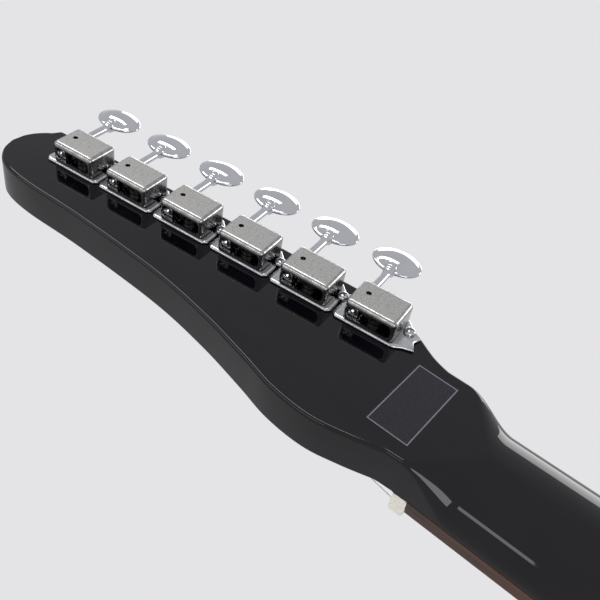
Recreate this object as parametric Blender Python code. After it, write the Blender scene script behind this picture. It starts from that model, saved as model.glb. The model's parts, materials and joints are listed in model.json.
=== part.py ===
# Baritone electric guitar with a six-in-line headstock, as separate pieces.
#
# Frame: metres, +Z up along the neck towards the headstock tip, strings facing -Y, treble side at +X.
# The origin lies on the neck's centre line, at the fingerboard end of the string nut, in the plane
# where the fingerboard is glued to the neck. The headstock's face lies in that same plane, y = 0.

import bisect
import math

import bmesh
import bpy
from mathutils import Matrix, Vector

MM = 0.001
INCH = 0.0254
GAP = 0.3 * MM
PAST = 5.0 * MM

# Scale, frets and neck
SCALE = 29.75 * INCH
FRETS = 24
NUT_WIDTH = 40.0 * MM
NECK_END_WIDTH = 56.5 * MM
NUT_THICK = 5.0 * MM
NUT_ROUND = 1.2 * MM
NUT_ABOVE_BOARD = 2.2 * MM
BOARD_THICK = 5.8 * MM
BOARD_RADIUS = 355.0 * MM
BOARD_PAST_FRET = 8.0 * MM
FRET_HEIGHT = 1.0 * MM
FRET_WIDTH = 2.3 * MM
NECK_DEPTH_NUT = 14.8 * MM
NECK_FLANK = 1.12
NECK_DEPTH_JOINT = 17.0 * MM
HEEL_DEPTH = 19.4 * MM
HEEL_LENGTH = 76.0 * MM
HEEL_RAMP = 40.0 * MM
EDGE_ROUND = 1.3 * MM
NECK_CORNERS = 5

# Headstock and the row of tuning machines. Row places are (pitches from the machine nearest the nut
# towards the tip, distance across the row towards the buttons).
HEAD_THICK = 14.5 * MM
TUNERS = 6
TUNER_PITCH = 25.4 * MM
ROW_ANGLE = math.radians(6.4)
NUT_TO_TUNER = 41.0 * MM
ROW_OFFSET = 24.5 * MM
BUTTON_EDGE = 11.0 * MM
NECK_BLEND_END = 6.5 * MM
NECK_BLEND_START = -13.0 * MM
TREBLE_EDGE = (
    (-1.07, 43.8), (-0.62, 46.1), (-0.14, 47.4), (0.42, 45.3), (0.96, 40.6), (1.73, 34.5),
    (2.72, 28.9), (4.24, 24.4), (5.30, 22.6), (5.85, 19.5), (6.12, 14.0), (6.21, 8.0),
)
BASS_EDGE = ((-1.14, 3.3), (-0.90, 0.8), (-0.61, -4.0), (-0.33, -8.8), (-0.02, -11.0))
BASS_TIP = ((5.55, -11.0), (5.90, -8.5), (6.10, -3.5), (6.19, 1.5))

# Tuning machine
POST_RADIUS = 3.15 * MM
POST_WAIST = 2.7 * MM
POST_ABOVE_FACE = 14.0 * MM
POST_SLOT = 1.6 * MM
POST_SLOT_DEPTH = 5.0 * MM
POST_WAIST_TOP = 9.0 * MM
POST_WAIST_LOW = 2.4 * MM
POST_STEP = 0.6 * MM
BUSHING_WALL = 1.1 * MM
BUSHING_DEPTH = 8.0 * MM
BUSHING_FLANGE = 5.6 * MM
BUSHING_FLANGE_THICK = 1.2 * MM
WORM_TO_POST = 6.4 * MM
WORM_HEIGHT = 5.2 * MM
WORM_RADIUS = 1.95 * MM
WORM_ROOT = 1.2 * MM
WORM_TURNS = 3
WHEEL_TEETH = 15
WHEEL_THICK = 2.6 * MM
SHAFT_RADIUS = 1.5 * MM
PLATE_THICK = 1.0 * MM
PLATE_NEAR = 7.3 * MM
PLATE_FAR = 8.0 * MM
PLATE_GAP = 0.5 * MM
PLATE_TIP_SIDE = 13.0 * MM
EAR_WIDTH = 4.0 * MM
EAR_THICK = 1.1 * MM
EAR_PLACE = 5.0 * MM
COVER_LENGTH = 18.6 * MM
COVER_WIDTH = 13.6 * MM
COVER_TOP = 9.5 * MM
COVER_WALL = 0.6 * MM
COVER_ROUND = 1.3 * MM
COVER_RIM = 2.0 * MM
COVER_SILL = 0.9 * MM
WINDOW_ROUND = 1.6 * MM
COVER_WINDOW_SIDE = 1.3 * MM
BUTTON_LONG = 18.6 * MM
BUTTON_SHORT = 13.4 * MM
BUTTON_THICK = 6.4 * MM
BUTTON_RIM = 0.7 * MM
BUTTON_SWELL = 2.3
BUTTON_CENTRE = 26.0 * MM
COLLAR_RADIUS = 3.1 * MM
COLLAR_START = 2.5 * MM
COLLAR_FULL = 1.5 * MM
COLLAR_END = 4.0 * MM
TUNER_SCREW_RADIUS = 1.2 * MM
TUNER_SCREW_HEAD = 2.05 * MM
TUNER_SCREW_LENGTH = 9.0 * MM
TUNER_SCREW_ACROSS = 2.0 * MM
TUNER_SCREW_ALONG = 13.7 * MM
END_SCREW_ALONG = 11.7 * MM
SCREW_TOP = 1.5 * MM
PLATE_CHAMFER = 1.6 * MM

# Points of the tab past the last machine, in millimetres from its screw.
END_TAB = ((-7.4, 2.3), (-4.6, -0.9), (-2.2, -4.4), (1.0, -3.2), (4.3, -4.8), (5.4, -1.2), (7.0, 1.4))
END_TAB_ROOT = 2.8 * MM

# Strings
STRING_GAUGES = (0.013, 0.017, 0.026, 0.036, 0.046, 0.062)
NUT_SPREAD = 33.5 * MM
BRIDGE_SPREAD = 52.0 * MM
SLOT_ABOVE_FRETS = 0.1 * MM
WRAP_TURNS = 1.5
WRAP_POINTS = 10
WRAP_HEIGHT = 5.8 * MM
BALL_RADIUS = 1.8 * MM
TREE_PLACE = 72.0 * MM
TREE_HEIGHT = 4.4 * MM
TREE_THICK = 1.2 * MM
TREE_HALF = 2.2 * MM
TREE_STEM = 1.5 * MM

# Body
BODY_THICK = 40.0 * MM
BODY_DROP = 3.5 * MM
BODY_ROUND = 6.0 * MM
BODY_BASS = (
    (-34, -512), (-52, -497), (-73, -461), (-98, -437), (-125, -448), (-141, -486), (-141, -535),
    (-121, -606), (-128, -654), (-153, -706), (-164, -762), (-141, -820), (-86, -848), (0, -857),
)
BODY_TREBLE = (
    (86, -848), (144, -806), (160, -748), (141, -686), (113, -630), (112, -582), (127, -530),
    (119, -484), (97, -470), (73, -487), (54, -510), (36, -519),
)

# Hardware on the body
GUARD_THICK = 2.4 * MM
GUARD_OUTLINE = (
    (-30, -589), (-66, -600), (-86, -642), (-70, -690), (-48, -727), (0, -733), (46, -731),
    (56, -772), (84, -810), (120, -797), (138, -744), (120, -690), (98, -632), (94, -582),
    (100, -532), (84, -508), (62, -545), (44, -585),
)
CAVITY_OUTLINE = (
    (78, -606), (92, -606), (116, -690), (126, -746), (112, -790), (88, -797), (68, -772), (66, -700),
)
CAVITY_DEPTH = 32.0 * MM
PICKUP_LENGTH = 76.0 * MM
PICKUP_WIDTH = 24.0 * MM
PICKUP_DEPTH = 20.0 * MM
PICKUP_TOP = 6.0 * MM
PICKUP_CLEARANCE = 2.0 * MM
PICKUP_PLACES = {"pickup_neck": 0.823, "pickup_bridge": 0.938}
BRIDGE_WIDTH = 82.0 * MM
BRIDGE_THICK = 2.0 * MM
BRIDGE_FRONT = 19.0 * MM
BRIDGE_BACK = 36.0 * MM
BRIDGE_LIP = 14.0 * MM
LIP_HOLE = 1.25 * MM
LIP_STRING = 6.0 * MM
SADDLE_TOP = 9.9 * MM
SADDLE_RADIUS = 3.4 * MM
SADDLE_LENGTH = 19.5 * MM
SADDLE_FOOT = 1.5 * MM
CONTROL_HOLE = 4.75 * MM
POT_RADIUS = 12.0 * MM
POT_DEPTH = 9.5 * MM
NUT_RING = 6.4 * MM
NUT_RING_THICK = 1.6 * MM
KNOB_RADIUS = 10.0 * MM
KNOB_HEIGHT = 14.0 * MM
KNOB_SHAFT = 3.0 * MM
KNOB_LIFT = 3.8 * MM
KNOB_SKIRT = 3.0 * MM
POTS = {"volume": (88, -706), "tone": (104, -748)}
SWITCH_PLACE = (84, -632)
SWITCH_BORE = 3.6 * MM
SWITCH_DEPTH = 18.0 * MM
SWITCH_INSIDE = 8.0 * MM
LEVER_RADIUS = 1.5 * MM
LEVER_DEPTH = 3.5 * MM
LEVER_REACH = 17.0 * MM
LEVER_TIP = 3.3 * MM
JACK_PLACE = (94, -782)
JACK_BORE = 3.3 * MM
JACK_DEPTH = 24.0 * MM
TRUSS_RADIUS = 2.6 * MM
TRUSS_SLOT = 6.2 * MM
TRUSS_DEPTH = 9.0 * MM
TRUSS_NUT_RADIUS = 3.6 * MM
TRUSS_NUT_LENGTH = 9.0 * MM
TRUSS_POCKET = 26.0 * MM
TRUSS_POCKET_START = 7.0 * MM
TRUSS_SHORT = 10.0 * MM
TRUSS_POCKET_WIDTH = 10.0 * MM
PLATE_WIDTH = 51.0 * MM
PLATE_LENGTH = 50.0 * MM
NECK_PLATE_THICK = 1.6 * MM
PLATE_CORNER = 5.0 * MM
PLATE_SCREW_INSET = 8.0 * MM
NECK_SCREW = 2.1 * MM
NECK_SCREW_HEAD = 4.2 * MM
NECK_SCREW_BITE = 12.0 * MM
STRAP_RADIUS = 8.0 * MM
STRAP_HEIGHT = 12.0 * MM
STRAP_SCREW = 1.8 * MM
STRAP_SCREW_LENGTH = 14.0 * MM

BLACK = ("gloss_black", (0.006, 0.006, 0.009), 0.0, 0.08)
ROSEWOOD = ("rosewood", (0.06, 0.03, 0.02), 0.0, 0.5)
BONE = ("bone", (0.78, 0.72, 0.58), 0.0, 0.4)
CHROME = ("chrome", (0.75, 0.76, 0.78), 1.0, 0.12)
SATIN = ("satin_nickel", (0.62, 0.61, 0.58), 1.0, 0.38)
STEEL = ("steel", (0.55, 0.55, 0.56), 1.0, 0.3)
BRASS = ("brass", (0.6, 0.45, 0.2), 1.0, 0.3)
PLY = ("cream_plastic", (0.72, 0.68, 0.58), 0.0, 0.3)
DARK = ("dark_plastic", (0.03, 0.03, 0.03), 0.0, 0.4)

BOARD_LENGTH = SCALE * (1 - 2 ** (-FRETS / 12)) + BOARD_PAST_FRET
BODY_FACE = BODY_DROP
BODY_BACK = BODY_DROP + BODY_THICK
GUARD_TOP = BODY_FACE - GAP - GUARD_THICK
POST_HOLE = POST_RADIUS + GAP + BUSHING_WALL + GAP
STRING_RADII = [gauge * INCH / 2 for gauge in STRING_GAUGES]


def clear_scene():
    """Removes what a new file starts with."""
    for obj in list(bpy.data.objects):
        bpy.data.objects.remove(obj)


def material(spec):
    """The named Principled material, made once."""
    name, colour, metallic, roughness = spec
    found = bpy.data.materials.get(name)
    if found:
        return found
    made = bpy.data.materials.new(name)
    made.use_nodes = True
    shader = made.node_tree.nodes["Principled BSDF"]
    shader.inputs["Base Color"].default_value = (*colour, 1.0)
    shader.inputs["Metallic"].default_value = metallic
    shader.inputs["Roughness"].default_value = roughness
    return made


def put(name, mesh, spec, place=Vector(), turn=None):
    """One named object that shows this mesh."""
    obj = bpy.data.objects.new(name, mesh)
    obj.matrix_world = Matrix.Translation(place) @ (turn or Matrix.Identity(4))
    if not mesh.materials:
        mesh.materials.append(material(spec))
    bpy.context.scene.collection.objects.link(obj)


def finished(bm, smooth_angle=35):
    """A mesh from this bmesh, with its faces out and its round sides smooth."""
    bmesh.ops.recalc_face_normals(bm, faces=bm.faces)
    mesh = bpy.data.meshes.new("shape")
    bm.to_mesh(mesh)
    bm.free()
    mesh.shade_smooth()
    mesh.set_sharp_from_angle(angle=math.radians(smooth_angle))
    return mesh


def loft(rings, smooth_angle=35):
    """A closed skin over rings of points, each ring with as many points as the next."""
    bm = bmesh.new()
    rows = [[bm.verts.new(point) for point in ring] for ring in rings]
    count = len(rows[0])
    for low, high in zip(rows, rows[1:]):
        for i in range(count):
            j = (i + 1) % count
            bm.faces.new((low[i], low[j], high[j], high[i]))
    bm.faces.new(rows[0][::-1])
    bm.faces.new(rows[-1])
    return finished(bm, smooth_angle)


def circle(radius, segments, squash=1.0):
    """Points round a circle in a plane, starting on its first axis."""
    step = 2 * math.pi / segments
    return [(radius * math.cos(i * step), radius * squash * math.sin(i * step)) for i in range(segments)]


def turned(profile, segments=12):
    """A solid of revolution about Y from (y, radius) pairs."""
    return loft([[(x, y, z) for x, z in circle(radius, segments)] for y, radius in profile])


def tube(outer, inner, segments=12):
    """A ring-shaped solid about Y, from an outer (y, radius) profile and one inner radius."""
    bm = bmesh.new()
    walls = [*outer, (outer[-1][0], inner), (outer[0][0], inner)]
    rows = [[bm.verts.new((x, y, z)) for x, z in circle(radius, segments)] for y, radius in walls]
    for low, high in zip(rows, rows[1:] + rows[:1]):
        for i in range(segments):
            j = (i + 1) % segments
            bm.faces.new((low[i], low[j], high[j], high[i]))
    return finished(bm)


def block(low, high):
    """A box between two corners."""
    bm = bmesh.new()
    bmesh.ops.create_cube(bm, size=1.0)
    size = Vector(high) - Vector(low)
    bmesh.ops.scale(bm, vec=size, verts=bm.verts)
    bmesh.ops.translate(bm, vec=Vector(low) + size / 2, verts=bm.verts)
    return finished(bm)


def rounded_block(low, high, radius, along, segments=2):
    """A box whose edges that run along one axis are rounded."""
    bm = bmesh.new()
    bm.from_mesh(block(low, high))
    axis = "XYZ".index(along)
    edges = [e for e in bm.edges if abs((e.verts[0].co - e.verts[1].co).normalized()[axis]) > 0.99]
    bmesh.ops.bevel(bm, geom=edges, offset=radius, segments=segments, affect="EDGES", profile=0.5)
    return finished(bm)


def moved(mesh, offset=(0, 0, 0), turn=None):
    """A copy of the mesh, turned and then moved."""
    copy = mesh.copy()
    copy.transform(Matrix.Translation(Vector(offset)) @ (turn or Matrix.Identity(4)))
    return copy


def combined(mesh, tools, operation):
    """The mesh joined with, or cut by, each of the tools."""
    for tool in tools:
        target = bpy.data.objects.new("target", mesh)
        cutter = bpy.data.objects.new("cutter", tool)
        bpy.context.scene.collection.objects.link(target)
        bpy.context.scene.collection.objects.link(cutter)
        modifier = target.modifiers.new("Boolean", "BOOLEAN")
        modifier.operation = operation
        modifier.solver = "EXACT"
        modifier.object = cutter
        graph = bpy.context.evaluated_depsgraph_get()
        mesh = bpy.data.meshes.new_from_object(target.evaluated_get(graph))
        bpy.data.objects.remove(target)
        bpy.data.objects.remove(cutter)
    mesh.shade_smooth()
    mesh.set_sharp_from_angle(angle=math.radians(35))
    mesh.materials.clear()
    return mesh


def cut(mesh, *tools):
    """The mesh with the tools' shapes taken out of it."""
    return combined(mesh, tools, "DIFFERENCE")


def join(mesh, *others):
    """The mesh and the others as one body."""
    return combined(mesh, others, "UNION")


def curve_points(knots, steps=4, closed=False):
    """Points on a smooth curve through the knots."""
    count = len(knots)
    knots = [Vector(knot) for knot in knots]
    points = []
    for i in range(count if closed else count - 1):
        near = range(i - 1, i + 3)
        a, b, c, d = (knots[j % count] if closed else knots[min(max(j, 0), count - 1)] for j in near)
        for step in range(steps):
            t = step / steps
            points.append(0.5 * ((2 * b) + (c - a) * t + (2 * a - 5 * b + 4 * c - d) * t * t
                                 + (3 * b - a - 3 * c + d) * t ** 3))
    if not closed:
        points.append(knots[-1])
    return points


def outline_mm(knots, steps=4):
    """A closed smooth outline in the XZ plane from knots in millimetres."""
    return curve_points([Vector(knot) * MM for knot in knots], steps, closed=True)


def inset(outline, distance):
    """The outline moved inwards, whichever way round it runs."""
    count = len(outline)
    area = sum(outline[i].x * outline[(i + 1) % count].y - outline[(i + 1) % count].x * outline[i].y
               for i in range(count))
    side = 1 if area > 0 else -1
    result = []
    for i, point in enumerate(outline):
        along = (outline[(i + 1) % count] - outline[i - 1]).normalized()
        result.append(point + Vector((-along.y, along.x)) * distance * side)
    return result


def slab(outline, front, back, edge=0.0, steps=3):
    """A plate with this XZ outline between two heights, its edges rounded if an edge radius is given."""
    levels = [(front, 0.0), (back, 0.0)]
    if edge:
        turns = [math.pi / 2 * i / steps for i in range(steps + 1)]
        levels = [(front + edge * (1 - math.cos(a)), edge * (1 - math.sin(a))) for a in turns]
        levels += [(back - edge * (1 - math.cos(a)), edge * (1 - math.sin(a))) for a in reversed(turns)]
    return loft([[(p.x, y, p.y) for p in (inset(outline, d) if d else outline)] for y, d in levels])


def row_point(pitches, across):
    """World (x, z) of a place in the row of tuning machines, both in metres but the first in pitches."""
    a = pitches * TUNER_PITCH + NUT_TO_TUNER
    b = across + ROW_OFFSET
    sine, cosine = math.sin(ROW_ANGLE), math.cos(ROW_ANGLE)
    return Vector((a * sine - b * cosine, a * cosine + b * sine))


def tuner_pitch_place(number):
    """How many pitches machine 1 to 6 stands from the one nearest the nut; machine 1 is at the tip."""
    return TUNERS - number


def row_turn():
    """The turn from a machine's own frame, X away from the buttons and Z towards the tip, to the world."""
    return Matrix.Rotation(ROW_ANGLE, 4, "Y")


def tuner_place(number, height=0.0):
    """World place of a machine's post axis, at a height above the headstock's back."""
    at = row_point(tuner_pitch_place(number), 0.0)
    return Vector((at.x, HEAD_THICK + height, at.y))


def half_width(z):
    """Half the neck's width below the nut, where z is negative."""
    return (NUT_WIDTH + (NECK_END_WIDTH - NUT_WIDTH) * min(-z / BOARD_LENGTH, 1.0)) / 2


def edge_table(knots):
    """(z, x) pairs along a headstock edge, from the nut to the tip."""
    points = curve_points([row_point(k, across) for k, across in knots], 6)
    return [(p.y, p.x) for p in points]


def interpolated(table, z):
    """The value of a (z, value) table at z."""
    heights = [row[0] for row in table]
    i = min(max(bisect.bisect_left(heights, z), 1), len(table) - 1)
    (z0, v0), (z1, v1) = table[i - 1], table[i]
    return v0 + (v1 - v0) * (z - z0) / (z1 - z0)


def head_edges():
    """Tables of the treble and the bass edge of the headstock."""
    treble = edge_table([(k, -across * MM) for k, across in TREBLE_EDGE])
    bass = edge_table([(k, -across * MM) for k, across in BASS_EDGE + BASS_TIP])
    return ([(0.0, NUT_WIDTH / 2)] + treble, [(0.0, -NUT_WIDTH / 2)] + bass)


def neck_section(z, treble, bass):
    """One ring of the neck and headstock, in the XY plane at this height."""
    if z <= 0:
        right, left = half_width(z), -half_width(z)
    else:
        right, left = interpolated(treble, z), interpolated(bass, z)
    share = min(max((NECK_BLEND_END - z) / (NECK_BLEND_END - NECK_BLEND_START), 0.0), 1.0)
    share = share * share * (3 - 2 * share)
    heel_start = -BOARD_LENGTH + HEEL_LENGTH
    depth = HEAD_THICK + (NECK_DEPTH_NUT - HEAD_THICK) * share
    depth += (NECK_DEPTH_JOINT - NECK_DEPTH_NUT) * max(-z, 0.0) / (BOARD_LENGTH - HEEL_LENGTH)
    heel = min(max((heel_start + HEEL_RAMP - z) / HEEL_RAMP, 0.0), 1.0)
    depth = depth + (HEEL_DEPTH - depth) * heel
    share = share * (1 - heel)
    middle = (right + left) / 2
    reach = (right - left) / 2
    across = EDGE_ROUND + (reach - EDGE_ROUND) * 0.98 * share
    down = EDGE_ROUND + (0.92 * depth - EDGE_ROUND) * share
    front = EDGE_ROUND * 0.5 * (1.0 if z > NUT_THICK + GAP else 0.1)
    corner = []
    for i in range(NECK_CORNERS):
        a = math.pi / 2 * i / (NECK_CORNERS - 1)
        bend = 1.0 + (NECK_FLANK - 1.0) * share
        corner.append((reach - across * (1 - math.cos(a) ** bend), depth - down * (1 - math.sin(a) ** bend)))
    half = [(reach - front, 0.0), (reach, front)] + corner
    return [(middle + x, y, z) for x, y in half] + [(middle - x, y, z) for x, y in reversed(half)]


def neck_stations(tip):
    """Heights of the neck's rings, closer together where its shape changes."""
    heel_start = -BOARD_LENGTH + HEEL_LENGTH
    below = [-BOARD_LENGTH, heel_start, heel_start + HEEL_RAMP / 2, heel_start + HEEL_RAMP]
    below += [heel_start / 2, NECK_BLEND_START]
    blend = [NECK_BLEND_START + (NECK_BLEND_END - NECK_BLEND_START) * i / 5 for i in range(1, 6)]
    corner = row_point(0, BUTTON_EDGE).y
    above = [NECK_BLEND_END + (corner + 2 * MM - NECK_BLEND_END) * i / 5 for i in range(1, 6)]
    shoulder = row_point(TREBLE_EDGE[-3][0], 0).y
    above += [corner + (shoulder - corner) * i / 8 for i in range(1, 9)]
    above += [shoulder + (tip - shoulder) * (1 - (1 - i / 6) ** 2) for i in range(1, 7)]
    return below + blend + above


def bore(at, low, high, radius, segments=8):
    """Cutter for a round hole about Y at a world (x, z), between two heights."""
    return moved(turned([(low, radius), (high, radius)], segments), (at.x, 0, at.y))


def neck_holes():
    """Cutters for the post holes, tuner screws, truss rod channel and heel screws."""
    cutters = []
    for number in range(1, TUNERS + 1):
        at = row_point(tuner_pitch_place(number), 0.0)
        cutters.append(bore(at, -PAST, HEAD_THICK + PAST, POST_HOLE, 14))
    for at in tuner_screw_places():
        cutters.append(bore(at, HEAD_THICK - TUNER_SCREW_LENGTH, HEAD_THICK + PAST, TUNER_SCREW_RADIUS + GAP))
    half = TRUSS_SLOT / 2
    pocket = TRUSS_POCKET_WIDTH / 2
    low = TRUSS_POCKET_START
    cutters.append(block((-half, -PAST, -truss_length()), (half, TRUSS_DEPTH, low + PAST)))
    top_corner = (pocket, TRUSS_DEPTH + MM, low + TRUSS_POCKET)
    cutters.append(rounded_block((-pocket, -PAST, low), top_corner, pocket * 0.8, "Y", 3))
    for at in neck_screw_places():
        cutters.append(bore(at, HEEL_DEPTH - NECK_SCREW_BITE - GAP, HEEL_DEPTH + PAST, NECK_SCREW + GAP))
    return cutters


def truss_length():
    """How far the truss rod's channel runs below the nut."""
    return BOARD_LENGTH - HEEL_LENGTH - TRUSS_SHORT


def neck():
    """Neck and headstock in one piece, with its holes and the truss rod channel."""
    treble, bass = head_edges()
    tip = min(treble[-1][0], bass[-1][0])
    rings = [neck_section(z, treble, bass) for z in neck_stations(tip)]
    put("neck", cut(loft(rings), *neck_holes()), BLACK)


def fingerboard():
    """Fingerboard with its frets, a cambered top and a straight taper."""
    rows = [(0.0, 0.0)]
    for fret in range(1, FRETS + 1):
        z = -SCALE * (1 - 2 ** (-fret / 12))
        half = FRET_WIDTH / 2
        crown = half * 0.6
        rows += [(z + half, 0.0), (z + crown, FRET_HEIGHT), (z - crown, FRET_HEIGHT), (z - half, 0.0)]
    rows.append((-BOARD_LENGTH, 0.0))
    rings = []
    for z, lift in rows:
        half = half_width(z)
        top = []
        for share in (-1.0, 0.0, 1.0):
            x = share * half
            drop = BOARD_RADIUS - math.sqrt(BOARD_RADIUS ** 2 - x * x)
            top.append((x, -BOARD_THICK - lift + drop, z))
        rings.append([(-half, -GAP, z), *top, (half, -GAP, z)])
    put("fingerboard", loft(rings, 20), ROSEWOOD)


def string_x(number, spread):
    """Place across the neck of string 1, at the treble side, to string 6."""
    return spread / 2 - (number - 1) * spread / (TUNERS - 1)


def slot_bottom():
    """Height of the nut slots' bottoms."""
    return -(BOARD_THICK + FRET_HEIGHT + SLOT_ABOVE_FRETS)


def string_nut():
    """String nut with six slots."""
    half = NUT_WIDTH / 2
    top = -(BOARD_THICK + NUT_ABOVE_BOARD)
    body = rounded_block((-half, top, GAP), (half, -GAP, GAP + NUT_THICK), NUT_ROUND, "X", 3)
    slots = []
    for number, radius in enumerate(STRING_RADII, 1):
        x = string_x(number, NUT_SPREAD)
        wide = radius + GAP
        slots.append(block((x - wide, top - PAST, -PAST), (x + wide, slot_bottom(), NUT_THICK + PAST)))
    put("string_nut", cut(body, *slots), BONE)


def truss_rod():
    """Truss rod and its adjusting nut, in the neck's channel."""
    y = TRUSS_DEPTH - GAP - TRUSS_RADIUS
    start = TRUSS_POCKET_START + MM
    turn = Matrix.Rotation(math.pi / 2, 4, "X")
    rod = turned([(-start, TRUSS_RADIUS), (truss_length() - MM, TRUSS_RADIUS)], 8)
    put("truss_rod", moved(rod, (0, y, 0), turn.inverted()), STEEL)
    socket = TRUSS_NUT_RADIUS * 0.55
    nut = cut(
        turned([(0, TRUSS_NUT_RADIUS), (TRUSS_NUT_LENGTH, TRUSS_NUT_RADIUS)], 6),
        turned([(TRUSS_NUT_LENGTH * 0.3, socket), (TRUSS_NUT_LENGTH + PAST, socket)], 6),
    )
    put("truss_rod_nut", moved(nut, (0, 0, 0), turn), BRASS, Vector((0, y, start + GAP)))


def tuner_screw_places():
    """World (x, z) of each plate's screw at its tip side, and of the end tab's screw."""
    places = []
    for number in range(1, TUNERS + 1):
        along = tuner_pitch_place(number) + TUNER_SCREW_ALONG / TUNER_PITCH
        places.append(row_point(along, TUNER_SCREW_ACROSS))
    places.append(row_point(-END_SCREW_ALONG / TUNER_PITCH, TUNER_SCREW_ACROSS))
    return places


def plate_screw(along):
    """A wood screw in the machine's own frame, its head just above the plate."""
    top = PLATE_THICK + 2 * GAP
    profile = [
        (GAP - TUNER_SCREW_LENGTH, TUNER_SCREW_RADIUS), (top, TUNER_SCREW_RADIUS), (top, TUNER_SCREW_HEAD),
        (top + SCREW_TOP / 2, TUNER_SCREW_HEAD), (top + SCREW_TOP, TUNER_SCREW_HEAD * 0.55),
    ]
    return moved(turned(profile, 8), (-TUNER_SCREW_ACROSS, 0, along))


def tuner_plate_outline(last):
    """Base plate outline in the machine's own frame: X away from the buttons, Z towards the tip."""
    top = PLATE_TIP_SIDE
    bottom = -(TUNER_PITCH - PLATE_TIP_SIDE - PLATE_GAP)
    near, far = PLATE_NEAR, -PLATE_FAR
    chamfer = PLATE_CHAMFER
    points = [(near, top - chamfer), (near - chamfer, top)]
    points += [(far + 2 * chamfer, top), (far, top - 2 * chamfer)]
    if not last:
        notch = (TUNER_SCREW_RADIUS + 2 * GAP) / math.cos(math.pi / 8)
        points += [(far, bottom + 2 * chamfer), (far + 2 * chamfer, bottom)]
        for i in range(5):
            a = math.pi * (1 - i / 4)
            z = TUNER_SCREW_ALONG - TUNER_PITCH + notch * math.sin(a)
            points.append((-TUNER_SCREW_ACROSS + notch * math.cos(a), max(z, bottom)))
        points += [(near - chamfer, bottom), (near, bottom + chamfer)]
    else:
        root = END_TAB_ROOT - END_SCREW_ALONG
        tab = [(x * MM, z * MM - END_SCREW_ALONG) for x, z in END_TAB]
        points += [(far, root), *tab, (near, root)]
    return [Vector(point) for point in points]


def ear(x, thick):
    """An upright bearing ear with a round top and the shaft's hole, on the plate."""
    low = PLATE_THICK + GAP / 2
    half = EAR_WIDTH / 2
    arch = [(WORM_TO_POST - half, low), (WORM_TO_POST + half, low)]
    for i in range(7):
        a = math.pi * i / 6
        arch.append((WORM_TO_POST + half * math.cos(a), WORM_HEIGHT + half * math.sin(a)))
    body = loft([[(x + d, y, z) for z, y in arch] for d in (-thick / 2, thick / 2)])
    hole = turned([(-PAST, SHAFT_RADIUS + GAP), (PAST, SHAFT_RADIUS + GAP)], 10)
    return cut(body, moved(hole, (x, WORM_HEIGHT, WORM_TO_POST), Matrix.Rotation(math.pi / 2, 4, "Z")))


def tuner_plate(last):
    """Base plate with its bearing ears, post hole and wood screws."""
    base = slab(tuner_plate_outline(last), GAP, GAP + PLATE_THICK)
    hole = turned([(-PAST, POST_RADIUS + GAP), (PAST, POST_RADIUS + GAP)], 12)
    parts = [ear(EAR_PLACE, EAR_THICK), ear(-EAR_PLACE, EAR_THICK), plate_screw(TUNER_SCREW_ALONG)]
    if last:
        parts.append(plate_screw(-END_SCREW_ALONG))
    return join(cut(base, hole), *parts)


def tuner_cover():
    """Box cover: a five-sided shell with a window on the side away from the buttons."""
    low = PLATE_THICK + 2 * GAP
    half_x, half_z = COVER_WIDTH / 2, COVER_LENGTH / 2
    bm = bmesh.new()
    bm.from_mesh(block((-half_x, low, -half_z), (half_x, COVER_TOP, half_z)))
    edges = [e for e in bm.edges if max(v.co.y for v in e.verts) > COVER_TOP - MM]
    bmesh.ops.bevel(bm, geom=edges, offset=COVER_ROUND, segments=2, affect="EDGES", profile=0.5)
    outer = finished(bm)
    wall = COVER_WALL
    inner_top = (half_x - wall, COVER_TOP - wall, half_z - wall)
    inner = block((wall - half_x, low - PAST, wall - half_z), inner_top)
    side = half_z - COVER_WINDOW_SIDE
    window_top = (half_x + PAST, COVER_TOP - COVER_RIM, side)
    window_low = (half_x - 2 * wall, low + COVER_SILL, -side)
    window = rounded_block(window_low, window_top, WINDOW_ROUND, "X", 3)
    clear = SHAFT_RADIUS + 2 * GAP
    slot_top = (2 * wall - half_x, WORM_HEIGHT + clear, WORM_TO_POST + clear)
    slot = block((-half_x - PAST, low - PAST, WORM_TO_POST - clear), slot_top)
    return cut(outer, inner, window, slot)


def worm_thread():
    """Worm about X: a single thread whose flanks follow the wheel's teeth."""
    lead = worm_lead()
    length = WORM_TURNS * lead
    segments, steps = 8, 4
    rings = []
    for row in range(WORM_TURNS * steps + 1):
        x = -length / 2 + length * row / (WORM_TURNS * steps)
        ring = []
        for i in range(segments):
            angle = 2 * math.pi * i / segments
            phase = (x / lead - angle / (2 * math.pi)) % 1.0
            ridge = min(max(1.5 - abs(phase - 0.5) * 5, 0.0), 1.0)
            radius = WORM_ROOT + (WORM_RADIUS - WORM_ROOT) * ridge
            ring.append((x, radius * math.cos(angle), radius * math.sin(angle)))
        rings.append(ring)
    return loft(rings)


def worm_lead():
    """Distance between two threads: the wheel's tooth spacing."""
    return 2 * math.pi * wheel_pitch_radius() / WHEEL_TEETH


def wheel_pitch_radius():
    """Radius at which the wheel's teeth meet the worm's threads."""
    return WORM_TO_POST - (WORM_RADIUS + WORM_ROOT) / 2


def button():
    """Oval button about the key's axis: two domed faces that meet at a crisp rim."""
    dome = BUTTON_THICK / 2 - BUTTON_RIM
    levels = [(share, BUTTON_RIM + dome * (1 - share ** BUTTON_SWELL)) for share in (0.35, 0.75, 1.0)]
    rings = []
    for share, y in levels + [(share, -y) for share, y in reversed(levels)]:
        short, long = BUTTON_SHORT / 2 * share, BUTTON_LONG / 2 * share
        rings.append([(short * c, y, long * s) for c, s in circle(1.0, 14)])
    return moved(loft(rings, 60), (-BUTTON_CENTRE, 0, 0))


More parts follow.
